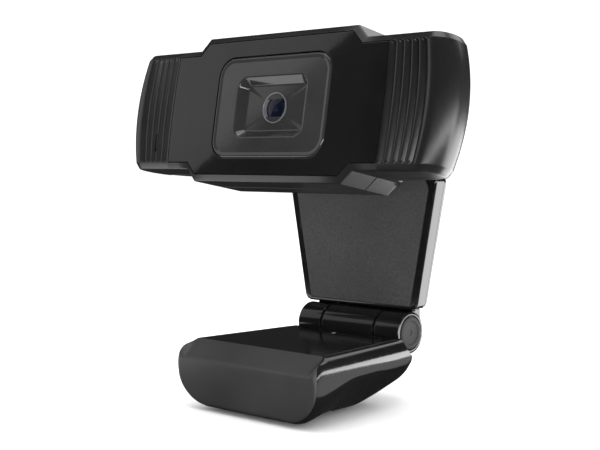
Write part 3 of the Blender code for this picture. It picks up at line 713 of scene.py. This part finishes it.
def add_rear_cover():
    radius = 1.5
    edge = [(SPLIT, SEAM), (SPLIT + SEAM, 0.0)]
    for k in range(7):
        a = math.pi / 2 * k / 6
        edge.append((radius * (1 - math.sin(a)), radius * (1 - math.cos(a))))
    levels = [0.98] + spaced(0.9, -0.9, 18) + [-0.98]
    skin = cover_skin(rear_plan(), edge, levels, False)
    bmesh.ops.recalc_face_normals(skin, faces=skin.faces[:])
    face_out(skin, Vector((0, 1, 0)))
    cover = new_object("rear_cover_shell", skin, HEAD_SPACE)
    wall(cover, COVER_WALL + 0.4)
    holes = [
        turned([(0, 9.6), (1.98, 9.6), (1.98, 16.0), (0, 16.0)], "Y", (x, 0, 0), 40)
        for x in (-23.0, 23.0)
    ]
    holes.append(turned([(0, 10.0), (2.6, 10.0), (2.6, 17.0), (0, 17.0)], "Y", (-11.0, 0, 5.5), 40))
    cut(cover, HEAD_SPACE, *holes)
    held_in(cover)
    cup = [(1.0, 9.55), (1.96, 9.55), (1.96, 12.2), (2.5, 12.2), (2.5, 9.0), (1.0, 9.0), (1.0, 9.55)]
    axis = HEAD_TO_AXIS
    neck = soft_box(
        (-TILT_KNUCKLE + 0.02, BLOCK_BACK - 1.2, axis.z - 2.6),
        (TILT_KNUCKLE - 0.02, axis.y - 2.0, axis.z + 2.6), 0.4,
    )
    merge(
        cover, HEAD_SPACE, neck,
        knuckle_shape(TILT_RADIUS, TILT_PIN, -TILT_KNUCKLE, TILT_KNUCKLE, axis),
        *[turned(cup, "Y", (x, 0, 0), 40) for x in (-23.0, 23.0)],
    )
    dress(cover, SATIN, "head", "satin_black", "rear_cover")


def knuckle_shape(radius, bore, low, high, at, sink=0.0, steps=64):
    """A hinge knuckle: a short tube with softened rims. A sink opens its outer end for a cap."""
    soft = 0.2
    side = -1 if low + high < 0 else 1
    inner, outer = (high, low) if side < 0 else (low, high)
    mouth = radius - 0.8 if sink else bore
    profile = [(bore, inner + side * soft), (bore + soft, inner), (radius - soft, inner)]
    profile += [(radius - soft * 0.3, inner + side * soft * 0.3), (radius, inner + side * soft)]
    profile += [(radius, outer - side * soft), (radius - soft * 0.3, outer - side * soft * 0.3)]
    profile += [(radius - soft, outer), (mouth + soft, outer), (mouth, outer - side * soft)]
    if sink:
        profile += [(mouth, outer - side * sink), (bore, outer - side * sink)]
    profile.append(profile[0])
    return turned(profile, "X", (0, at.y, at.z), steps)


def panel_outline():
    """The front panel's outline, with its ends bowed like the head's."""
    top = BLOCK_TOP - BORDER - PANEL_GAP
    wing = WING_TOP - BORDER - PANEL_GAP
    x_top = BLOCK_HALF - (BORDER + PANEL_GAP) * math.tan(math.pi / 8)
    x_end = PANEL_HALF - PANEL_GAP
    right = [(x_top, top), (x_top + top - wing, wing)]
    right += [(x_end, wing * s) for s in spaced(1.0, -1.0, 16)]
    right += [(x_top + top - wing, -wing), (x_top, -top)]
    points = right + [(-x, z) for x, z in reversed(right)]
    return [bulged((x, 0.0, z)) for x, z in points]


def add_panel():
    bm = bmesh.new()
    for loop in (panel_outline(), [Vector((x, 0, z)) for x, z in rounded(*BEZEL)]):
        ring = [bm.verts.new(p) for p in loop]
        for a, b in zip(ring, ring[1:] + ring[:1]):
            bm.edges.new((a, b))
    bmesh.ops.triangle_fill(bm, use_beauty=True, use_dissolve=False, edges=bm.edges[:])
    bmesh.ops.recalc_face_normals(bm, faces=bm.faces[:])
    front = bm.faces[:]
    thick = RECESS - PANEL_GAP
    back = bmesh.ops.extrude_face_region(bm, geom=front)
    moved = [v for v in back["geom"] if isinstance(v, bmesh.types.BMVert)]
    bmesh.ops.translate(bm, vec=(0, thick, 0), verts=moved)
    bmesh.ops.recalc_face_normals(bm, faces=bm.faces[:])
    rim = [
        e for e in bm.edges
        if all(abs(v.co.y) < 1e-6 for v in e.verts) and e.calc_face_angle(0.0) > 1.0
    ]
    bmesh.ops.bevel(
        bm, geom=rim, offset=0.12, affect="EDGES", segments=2, profile=0.5, material=-1
    )
    panel = new_object("gloss_front_panel", bm, HEAD_SPACE)
    dress(panel, PANEL, "head", "panel", "front_panel", sharp=5.0)


def add_bezel():
    """The grey surround: a soft outer lip and a dished middle that holds the lens."""
    width, height, corner = BEZEL
    dish_w, dish_h, dish_r = DISH
    gap = 0.1
    proud = -0.12
    soft = 0.45
    loops = []

    def ring(shrink, depth, size=(width, height, corner)):
        w, h, r = size
        points = rounded(w - 2 * shrink, h - 2 * shrink, max(0.3, r - shrink), 12)
        loops.append([(x, depth, z) for x, z in points])

    ring(gap + 0.4, 2.7)
    ring(gap, 2.5)
    ring(gap, proud + soft)
    for k in range(1, 13):
        a = math.pi / 2 * k / 12
        ring(gap + soft * (1 - math.cos(a)), proud + soft * (1 - math.sin(a)))
    ring(gap + 1.0, 0.0)
    dish = (dish_w, dish_h, dish_r)
    slope = 1.35
    turn = 0.5
    lean = math.atan2(DISH_DEPTH, slope)
    reach = turn * math.tan(lean / 2)
    for k in range(9):
        a = lean * k / 8
        ring(turn * math.sin(a) - reach, turn * (1 - math.cos(a)), dish)
    for k in range(9):
        a = lean * (1 - k / 8)
        ring(slope + reach - turn * math.sin(a), DISH_DEPTH - turn * (1 - math.cos(a)), dish)
    count = len(loops[0])
    bore = LENS_RADIUS + 0.08
    for radius, depth in ((bore + 0.1, DISH_DEPTH), (bore, DISH_DEPTH + 0.1), (bore, 2.7)):
        circle = []
        for x, y, z in loops[-1]:
            a = math.atan2(z, x)
            circle.append((radius * math.cos(a), depth, radius * math.sin(a)))
        loops.append(circle)
    loops.append(loops[0])
    bm = sheet(count + 1, len(loops), lambda i, k: Vector(loops[k][i % count]), True)
    bmesh.ops.recalc_face_normals(bm, faces=bm.faces[:])
    bezel = new_object("lens_surround", bm, HEAD_SPACE)
    dress(bezel, DISH_GREY, "head", "dish", "lens_bezel", sharp=9.0)


def add_lens():
    rim = LENS_RADIUS
    lip = 0.24
    barrel = [
        (rim - 0.02, 6.4), (rim - 0.02, 1.35), (rim - 0.08, 1.22), (rim - lip + 0.06, 1.2),
        (rim - lip, 1.28), (rim - lip - 0.05, 1.7), (rim - 0.75, 1.75), (rim - 0.8, 2.2),
        (rim - 1.05, 2.25), (rim - 1.1, 6.4), (rim - 0.02, 6.4),
    ]
    ring = new_object("lens_rim_ring", turned(barrel, "Y", steps=96), HEAD_SPACE)
    dress(ring, LENS_RIM, "head", "lens_rim", "lens_barrel")
    glass = rim - lip - 0.08
    crown = 0.55
    dome = []
    for k in range(13):
        share = k / 12
        dome.append((glass * share, 1.25 + crown * (1 - math.cos(share * math.pi / 2))))
    dome += [(glass, 2.4), (glass - 0.4, 3.1), (0.0, 3.1)]
    lens = new_object("front_lens", turned(dome, "Y", steps=96), HEAD_SPACE)
    dress(lens, GLASS, "head", "lens_glass", "lens_glass")


# Arm

def arm_loop(inset, depth, steps=8):
    """The arm's outline, drawn in by inset, at one depth."""
    def half(z):
        share = (z - ARM_LOW) / (ARM_HIGH - ARM_LOW)
        return ARM_BOTTOM_HALF + (ARM_TOP_HALF - ARM_BOTTOM_HALF) * share

    low, high = ARM_LOW + min(inset, PAD_FOOT + (inset - PAD_FOOT) * 0.25), ARM_HIGH - inset
    cut_corner = 1.2 - min(1.0, inset * 0.6)
    corner = 3.0
    right = [
        (half(low) - inset - cut_corner, low), (half(low + cut_corner * 0.3) - inset - 0.35, low + 0.35),
        (half(low + cut_corner) - inset, low + cut_corner),
    ]
    right += arc((half(high) - inset - corner, high - corner), corner, 0, 90, steps)
    loop = right + [(-x, z) for x, z in reversed(right)]
    return [(x, depth, z) for x, z in loop]


def add_arm_shell():
    front = ARM_FRONT
    tray = front + PAD_THICK
    loops = [arm_loop(PAD_BORDER + 0.6, tray), arm_loop(PAD_BORDER, tray)]
    loops += [arm_loop(PAD_BORDER, front + 0.12), arm_loop(PAD_BORDER - 0.1, front)]
    soft = 0.5
    for k in range(6):
        a = math.pi / 2 * k / 5
        loops.append(arm_loop(soft * (1 - math.sin(a)), front + soft * (1 - math.cos(a))))
    loops += [arm_loop(0.0, ARM_SIDE - 0.15), arm_loop(0.15, ARM_SIDE)]
    loops += [arm_loop(1.4, ARM_SIDE), arm_loop(1.4, tray + 1.2)]
    shell = new_object("arm_front_shell", lofted(loops), ARM_SPACE)
    clear = CLIP_RADIUS * 0.75
    reach = CLIP_KNUCKLE + EAR_GAP + 0.5
    shapes = [soft_box((-reach, clear, clear), (reach, CLIP_RADIUS - 0.05, ARM_LOW - 0.05), 0.1)]
    for side in (-1, 1):
        low, high = sorted((side * (CLIP_KNUCKLE + EAR_GAP), side * CLIP_HALF))
        sink = 0.7
        shapes.append(knuckle_shape(CLIP_RADIUS, CLIP_PIN, low, high, Vector((0, 0, 0)), sink))
        low, high = sorted((side * (CLIP_KNUCKLE + EAR_GAP), side * (CLIP_HALF - sink - 0.02)))
        shapes.append(soft_box((low, 1.6, 1.2), (high, CLIP_RADIUS - 0.02, ARM_LOW + 0.2), 0.15))
        shapes.append(soft_box((low, 1.6, ARM_LOW - 0.6), (high, ARM_SIDE - 0.05, ARM_LOW + 1.5), 0.15))
        low, high = sorted((side * (TILT_KNUCKLE + EAR_GAP), side * TILT_HALF))
        shapes.append(knuckle_shape(TILT_RADIUS, TILT_PIN, low, high, Vector((0, 0, AXIS_SPACING))))
        shapes.append(soft_box(
            (low, ARM_FRONT + 0.05, ARM_HIGH - 1.5), (high, ARM_SIDE - 0.2, AXIS_SPACING - 1.7), 0.15
        ))
    merge(shell, ARM_SPACE, *shapes)
    dress(shell, GLOSS, "arm", "gloss_black", "arm_shell")


def add_arm_back():
    start = ARM_SIDE + 0.12
    loops = [arm_loop(0.4, start), arm_loop(0.22, start + 0.12), arm_loop(0.22, start + 0.5)]
    deep = ARM_BACK - start - 0.5
    for k in range(1, 8):
        a = math.pi / 2 * k / 7
        loops.append(arm_loop(0.22 + 2.4 * (1 - math.cos(a)), start + 0.5 + deep * math.sin(a)))
    back = new_object("arm_rear_shell", lofted(loops), ARM_SPACE)
    seat = ARM_BACK - 1.25
    holes = []
    for z in (ARM_LOW + 6.5, ARM_HIGH - 6.5):
        for radius, floor in ((1.98, seat), (0.98, 0.0)):
            profile = [(0, floor), (radius, floor), (radius, 6.0), (0, 6.0)]
            holes.append(turned(profile, "Y", (0, 0, z), 40))
    cut(back, ARM_SPACE, *holes)
    dress(back, GLOSS, "arm", "gloss_black", "arm_back")


def add_pad():
    front = ARM_FRONT
    inset = PAD_BORDER + 0.12
    back = front + PAD_THICK - 0.12
    loops = [arm_loop(inset + 0.2, back), arm_loop(inset, back - 0.15)]
    loops += [arm_loop(inset, front + 0.16), arm_loop(inset + 0.05, front + 0.05)]
    loops += [arm_loop(inset + 0.16, front), arm_loop(inset + 3.0, front - 0.02)]
    pad = new_object("grip_pad_rubber", lofted(loops), ARM_SPACE)
    dress(pad, PAD, "arm", "pad", "grip_pad")


def add_caps():
    """A dished cap with a raised ring closes each end of the clip hinge."""
    edge = CLIP_RADIUS - 0.92
    start = CLIP_HALF - 0.58
    for side, label in ((-1, "left"), (1, "right")):
        profile = [
            (0.0, 0.0), (edge, 0.0), (edge, 0.62), (edge - 0.08, 0.74), (edge - 0.22, 0.8),
            (edge - 0.75, 0.8), (edge - 0.85, 0.74), (edge - 0.95, 0.6), (edge - 1.05, 0.56),
            (0.6, 0.52), (0.5, 0.40), (0.0, 0.36),
        ]
        flipped = [(r, side * (h + start)) for r, h in profile]
        cap = new_object(f"hinge_end_cap_{label}", turned(flipped, "X"), ARM_SPACE)
        dress(cap, MATT, "arm", "satin_black", f"hinge_cap_{label}")


# Foot

def foot_half(y):
    share = (y + FOOT_REACH) / (FOOT_REACH - CLIP_RADIUS)
    return FOOT_HALF_FRONT + (FOOT_HALF_REAR - FOOT_HALF_FRONT) * share


def foot_level(y):
    """The foot's top between its rims, the rims' top and the bottom, at one distance along it."""
    top = -FOOT_DROP
    rim = -FOOT_DROP
    band = -FOOT_REACH + BAND_LENGTH
    if y < band:
        top -= BAND_DROP * (band - y) / BAND_LENGTH
    past = min(RIM_ROUND, max(0.0, RIM_ROUND - FOOT_REACH - y))
    rim -= RIM_ROUND - math.sqrt(RIM_ROUND**2 - past**2)
    bottom = FOOT_BOTTOM
    toe = -FOOT_REACH + 3.0
    if y < toe:
        bottom += ((toe - y) / 3.0) ** 2
    heel = REAR_LIP - HEEL_LENGTH
    if y > heel:
        bottom += HEEL_RISE * ((y - heel) / HEEL_LENGTH) ** 1.2
    last = min(1.6, max(0.0, y - REAR_LIP + 1.6))
    bottom += 1.6 - math.sqrt(1.6**2 - last**2)
    return top, rim, bottom


TOP_ARC = 14
LOW_ARC = 18


def eased(share):
    share = min(1.0, max(0.0, share))
    return share * share * (3 - 2 * share)


def foot_column(index, y, inset=0.0):
    """One point of the foot's cross-section at y: index 0 is the lid's edge on the right, then down the
    rounded side to the middle of the bottom."""
    band, rim, bottom = foot_level(y)
    top = band + (rim - band) * eased(index / (TOP_ARC * 0.5)) - inset
    bottom += inset
    half = foot_half(y) - inset
    wide = max(0.4, TOP_ROUND - inset)
    high = max(0.4, TOP_ROUND_HIGH - inset)
    if index <= TOP_ARC:
        a = math.pi / 2 * (1 - index / TOP_ARC)
        x, z = half - wide + wide * math.cos(a), top - high + high * math.sin(a)
    else:
        a = math.pi / 2 * (index - TOP_ARC - 1) / LOW_ARC
        share = eased((y + FOOT_REACH - 1.5) / 12.0)
        share *= 1 - 0.75 * max(0.0, (y - REAR_LIP + HEEL_LENGTH) / HEEL_LENGTH)
        flat = half - LOW_ROUND + (LOW_FLAT - half + LOW_ROUND) * share
        tall = LOW_ROUND + (LOW_ROUND_REAR - LOW_ROUND) * share
        tall -= 2.5 * max(0.0, (y - REAR_LIP + HEEL_LENGTH) / HEEL_LENGTH)
        tall = min(tall, rim - bottom - TOP_ROUND_HIGH - 0.2)
        power = 1.0 + 0.3 * share
        x = flat + (half - flat) * max(0.0, math.cos(a)) ** power
        z = bottom + tall * (1 - math.sin(a) ** power)
    return x + SIDE_LEAN * (z + FOOT_DROP) / FOOT_HEIGHT, z


def foot_loop(y, inset=0.0):
    side = [foot_column(k, y, inset) for k in range(TOP_ARC + LOW_ARC + 2)]
    low_x, low_z = side[-1]
    bottom = [(low_x * s, low_z) for s in (0.75, 0.5, 0.25, 0.0)]
    left = [(-x, z) for x, z in reversed(side + bottom[:-1])]
    top_x, top_z = side[0]
    across = [(top_x * s, top_z) for s in top_marks(top_x)]
    loop = side + bottom + left + across
    front_top = -FOOT_DROP - BAND_DROP
    lean = FACE_LEAN * max(0.0, 1 - (y + FOOT_REACH) / 5.0)
    return [(x, y + max(0.0, front_top - z) * lean, z) for x, z in loop]


def top_marks(top_x):
    """Where the columns of the foot's top stand, as shares of its half width."""
    knuckle = (CLIP_KNUCKLE + 0.02) / top_x
    lid = 0.985
    return [-lid, -lid, -knuckle - 0.001, -knuckle, -knuckle / 2, 0.0, knuckle / 2, knuckle, knuckle + 0.001,
            lid, lid]


def seam_y(x, z):
    """Where the front cap ends: behind the band on top, and close to the front face at the sides."""
    edge = foot_half(-20.0) - TOP_ROUND
    share = eased((abs(x) - edge - 0.25) / (TOP_ROUND * 0.7))
    if z < -FOOT_DROP - TOP_ROUND_HIGH * 0.5:
        share = 1.0
    return -FOOT_REACH + BAND_LENGTH - (BAND_LENGTH - 0.5) * share


def rear_y(x, z):
    """Where the foot's skin stops in front of the hinge."""
    inside = abs(x) < CLIP_KNUCKLE + 0.02
    room = CLIP_RADIUS - 0.4 if inside else CLIP_RADIUS + 0.25
    if z < -room * 0.98:
        return REAR_LIP
    return min(REAR_LIP, -math.sqrt(max(0.0, room**2 - z**2)))


def add_front_cap():
    loops = []
    start = -FOOT_REACH + 0.3
    for shrink, forward in ((0.9, 0.0), (0.3, 0.0), (0.14, 0.04), (0.04, 0.13), (0.0, 0.3)):
        loops.append(foot_loop(-FOOT_REACH + forward, shrink))
    steps = 12
    base = foot_loop(-20.0)
    for k in range(1, steps + 1):
        loop = []
        for index, (x, _, z) in enumerate(base):
            at = start + (seam_y(x, z) - start) * k / steps
            loop.append(foot_loop(at)[index])
        loops.append(loop)
    cap = new_object("foot_front_cap", lofted(loops, caps=False), FOOT_SPACE)
    bm = bmesh.new()
    bm.from_mesh(cap.data)
    limit = JOINTS["clip_hinge"].y - (FOOT_REACH - 0.29) * MM
    near = [
        e for e in bm.edges
        if e.is_boundary and all(abs(v.co.x) < (FOOT_HALF_FRONT - 0.85) * MM for v in e.verts)
        and sum(v.co.y for v in e.verts) / 2 < limit + 0.7 * MM
    ]
    bmesh.ops.holes_fill(bm, edges=near, sides=0)
    bmesh.ops.recalc_face_normals(bm, faces=bm.faces[:])
    face_out(bm, Vector((0, -1, 0)))
    bm.to_mesh(cap.data)
    bm.free()
    wall(cap, 0.9)
    dress(cap, CAP_SATIN, "foot", "satin_black", "front_cap")


def add_foot_shell():
    base = foot_loop(-20.0)
    steps = 40
    gap = 0.06
    loops = []

    def station(share):
        loop = []
        for index, (x, _, z) in enumerate(base):
            start = seam_y(x, z) + gap
            end = rear_y(x, z)
            at = start + (end - start) * share
            loop.append(foot_loop(at)[index])
        return loop

    for k in range(steps + 1):
        loops.append(station(k / steps))
    skin = lofted(loops, caps=False)
    front, back = lid_ends()
    covered = [
        f for f in skin.faces
        if f.calc_center_median().z > -FOOT_DROP - 0.01 and front - 0.5 < f.calc_center_median().y < back
        and abs(f.calc_center_median().x) < foot_half(f.calc_center_median().y) - TOP_ROUND
    ]
    bmesh.ops.delete(skin, geom=covered, context="FACES")
    face_out(skin, Vector((0, 0, -1)))
    shell = new_object("foot_gloss_shell", skin, FOOT_SPACE)
    wall(shell, 1.3)
    tools = []
    for y in (-27.0, -15.0):
        tools.append(soft_box((-7.2, y - 2, FOOT_BOTTOM - 1), (7.2, y + 2, FOOT_BOTTOM + 0.6), 0.3))
    for x in (-9.0, 9.0):
        low, high = FOOT_BOTTOM - 1, FOOT_BOTTOM + 1.9
        profile = [(0, low), (1.98, low), (1.98, high), (0, high)]
        tools.append(turned(profile, "Z", (x, -20.0, 0), 40))
    cut(shell, FOOT_SPACE, *tools)
    merge(
        shell, FOOT_SPACE, lid_floor(),
        knuckle_shape(CLIP_RADIUS, CLIP_PIN, -CLIP_KNUCKLE, CLIP_KNUCKLE, Vector((0, 0, 0))),
        soft_box((-CLIP_KNUCKLE + 0.02, -7.0, -4.6), (CLIP_KNUCKLE - 0.02, -2.2, -0.7), 0.2),
    )
    dress(shell, GLOSS, "foot", "gloss_black", "foot_shell")


def lid_ends():
    return -FOOT_REACH + BAND_LENGTH + 0.05, -CLIP_RADIUS - 1.4


def lid_shape(shrink, low, high, soft=0.0):
    """A plate in the outline of the lid."""
    front, back = lid_ends()
    half = [
        (foot_half(front) - LID_MARGIN - shrink, front + shrink),
        (foot_half(back) - LID_MARGIN - shrink, back - shrink),
    ]
    outline = half + [(-x, y) for x, y in reversed(half)]
    loops = [[(x, y, low) for x, y in outline], [(x, y, high) for x, y in outline]]
    bm = lofted(loops)
    if soft:
        rim = [e for e in bm.edges if all(v.co.z > high - 1e-4 for v in e.verts)]
        bmesh.ops.bevel(
            bm, geom=rim, offset=soft, affect="EDGES", segments=3, profile=0.5, material=-1
        )
    return bm


def lid_floor():
    return lid_shape(-0.4, -FOOT_DROP - LID_DEPTH - 0.9, -FOOT_DROP - LID_DEPTH - 0.05)


def add_lid():
    plate = lid_shape(0.03, -FOOT_DROP - LID_DEPTH, -FOOT_DROP, 0.05)
    lid = new_object("foot_top_plate", plate, FOOT_SPACE)
    floor = -FOOT_DROP - 0.12
    mark = turned([(0, floor), (1.2, floor), (1.35, 0.5), (0, 0.5)], "Z", (0, 0, 0), 48)
    bmesh.ops.scale(mark, vec=(1.0, 0.7, 1.0), verts=mark.verts[:])
    bmesh.ops.translate(mark, vec=(0.2, -7.5, 0.0), verts=mark.verts[:])
    cut(lid, FOOT_SPACE, mark)
    dress(lid, GLOSS, "foot", "gloss_black", "foot_lid")


def add_grips():
    """Rubber strips under the foot, with ribs across them."""
    for label, y in (("front", -27.0), ("rear", -15.0)):
        low = FOOT_BOTTOM - 0.4
        shapes = [soft_box((-7.1, y - 1.88, low + 0.15), (7.1, y + 1.88, FOOT_BOTTOM + 0.48), 0.1)]
        ribs = 7
        for k in range(ribs):
            x = -6.0 + 12.0 * k / (ribs - 1)
            shapes.append(soft_box((x - 0.8, y - 1.7, low), (x + 0.8, y + 1.7, low + 0.3), 0.1))
        grip = new_object(f"rubber_strip_{label}", shapes[0], FOOT_SPACE)
        cut(grip, FOOT_SPACE, *shapes[1:], join=True)
        dress(grip, RUBBER, "foot", "rubber", f"foot_grip_{label}")


add_front_cover()
add_mic_slot()
add_rear_cover()
add_panel()
add_bezel()
add_lens()
add_arm_shell()
add_arm_back()
add_pad()
add_caps()
add_front_cap()
add_foot_shell()
add_lid()
add_grips()

# Carried-over CAD nodes
CARRIED = {
    "steel": (STEEL, ("head_screw_left", "head_screw_right", "arm_screw_lower", "arm_screw_upper",
                      "foot_screw_left", "foot_screw_right", "clip_pin", "tilt_pin", "microphone")),
    "washer": (DARK_STEEL, ("clip_washer_left", "clip_washer_right", "tilt_washer_left",
                            "tilt_washer_right")),
    "satin_black": (SATIN, ("lens_holder",)),
    "rubber": (RUBBER, ("cable_inlet",)),
    "board": (BOARD, ("main_board",)),
    "chip": (CHIP, ("image_sensor",)),
}
for finish, names in CARRIED.values():
    for name in names:
        mesh = frame["nodes"][name].data
        mesh.materials.clear()
        mesh.materials.append(finish)


# Studio

def add_floor():
    bm = bmesh.new()
    bmesh.ops.create_grid(bm, x_segments=8, y_segments=8, size=4.0)
    floor = new_object("studio_floor", bm, Matrix.Identity(4))
    made = Finish("pale floor", 0.6, 0.0, 0.0)
    cloud = made.noise(0.004, 3.0)
    made.set("Base Color", made.blend((0.86, 0.86, 0.86), (0.90, 0.90, 0.90), cloud))
    floor.data.materials.append(made.material)
    floor.visible_glossy = False


def add_world():
    world = bpy.data.worlds.new("studio")
    world.use_nodes = True
    tree = world.node_tree
    background = tree.nodes["Background"]
    background.inputs["Strength"].default_value = 1.0
    path = tree.nodes.new("ShaderNodeLightPath")
    mix = tree.nodes.new("ShaderNodeMix")
    mix.data_type = "RGBA"
    mix.inputs[6].default_value = (1.25, 1.25, 1.25, 1.0)
    mix.inputs[7].default_value = (0.03, 0.03, 0.03, 1.0)
    tree.links.new(path.outputs["Is Glossy Ray"], mix.inputs[0])
    tree.links.new(mix.outputs[2], background.inputs["Color"])
    bpy.context.scene.world = world


def add_card(name, centre, aim, size, brightness, along=(0, 0, 1)):
    """A soft rectangular light. along is the direction of the first of its two sizes."""
    light = bpy.data.lights.new(name, "AREA")
    light.shape = "RECTANGLE"
    light.size, light.size_y = size
    light.energy = brightness * math.pi * size[0] * size[1]
    made = bpy.data.objects.new(name, light)
    bpy.context.scene.collection.objects.link(made)
    back = (Vector(centre) - Vector(aim)).normalized()
    across = Vector(along)
    across = (across - back * across.dot(back)).normalized()
    up = back.cross(across)
    made.matrix_world = Matrix.Translation(centre) @ Matrix((across, up, back)).transposed().to_4x4()
    made.visible_camera = False


def add_lights():
    head = (0.0, -0.008, 0.055)
    add_card("overhead", (0.0, 0.0, 1.2), (0, 0, 0), (0.9, 0.9), 3.0, (1, 0, 0))
    add_card("back_high", (0.02, 0.70, 0.66), head, (1.0, 0.5), 1.9, (1, 0, 0))
    middle = Vector((-0.687, -0.675, 0.352))
    edge = Vector((0.565, -0.234, 0.793))
    outward = Vector((-0.458, 0.712, 0.536))
    tall = 0.7
    add_card("front_left", middle + outward * (tall / 2 - 0.016), head, (1.5, tall), 0.76, edge)
    add_card("low_right", (0.52, -0.06, 0.03), head, (0.6, 0.11), 9.0, (0, 1, 0))
    add_card("low_front_right", (0.34, -0.62, 0.03), head, (0.7, 0.12), 9.0, (1, 0.5, 0))
    floor_cards = (
        ("floor_back_right", (0.20, 0.235), (0.34, 0.40), 7.0),
        ("floor_behind", (-0.01, 0.11), (0.08, 0.12), 4.0),
        ("floor_left", (-0.075, -0.045), (0.08, 0.08), 2.0),
        ("floor_beside_foot", (0.035, 0.006), (0.026, 0.07), 0.9),
    )
    for name, (x, y), size, brightness in floor_cards:
        add_card(name, (x, y, 0.002), (x, y, 1.0), size, brightness, (1, 0, 0))


def add_camera():
    """The camera stands to the right and a little above the middle of the head."""
    camera = bpy.data.cameras.new("camera")
    camera.sensor_width = 36.0
    camera.lens = 69.88
    camera.clip_start = 0.01
    made = bpy.data.objects.new("camera", camera)
    bpy.context.scene.collection.objects.link(made)
    made.location = (0.14884, -0.16700, 0.04758)
    azimuth = math.radians(42.28)
    pitch = math.radians(3.28)
    made.rotation_euler = (math.pi / 2 - pitch, 0.0, azimuth)
    bpy.context.scene.camera = made


add_floor()
add_world()
add_lights()
add_camera()
bpy.context.scene.view_settings.view_transform = "Standard"
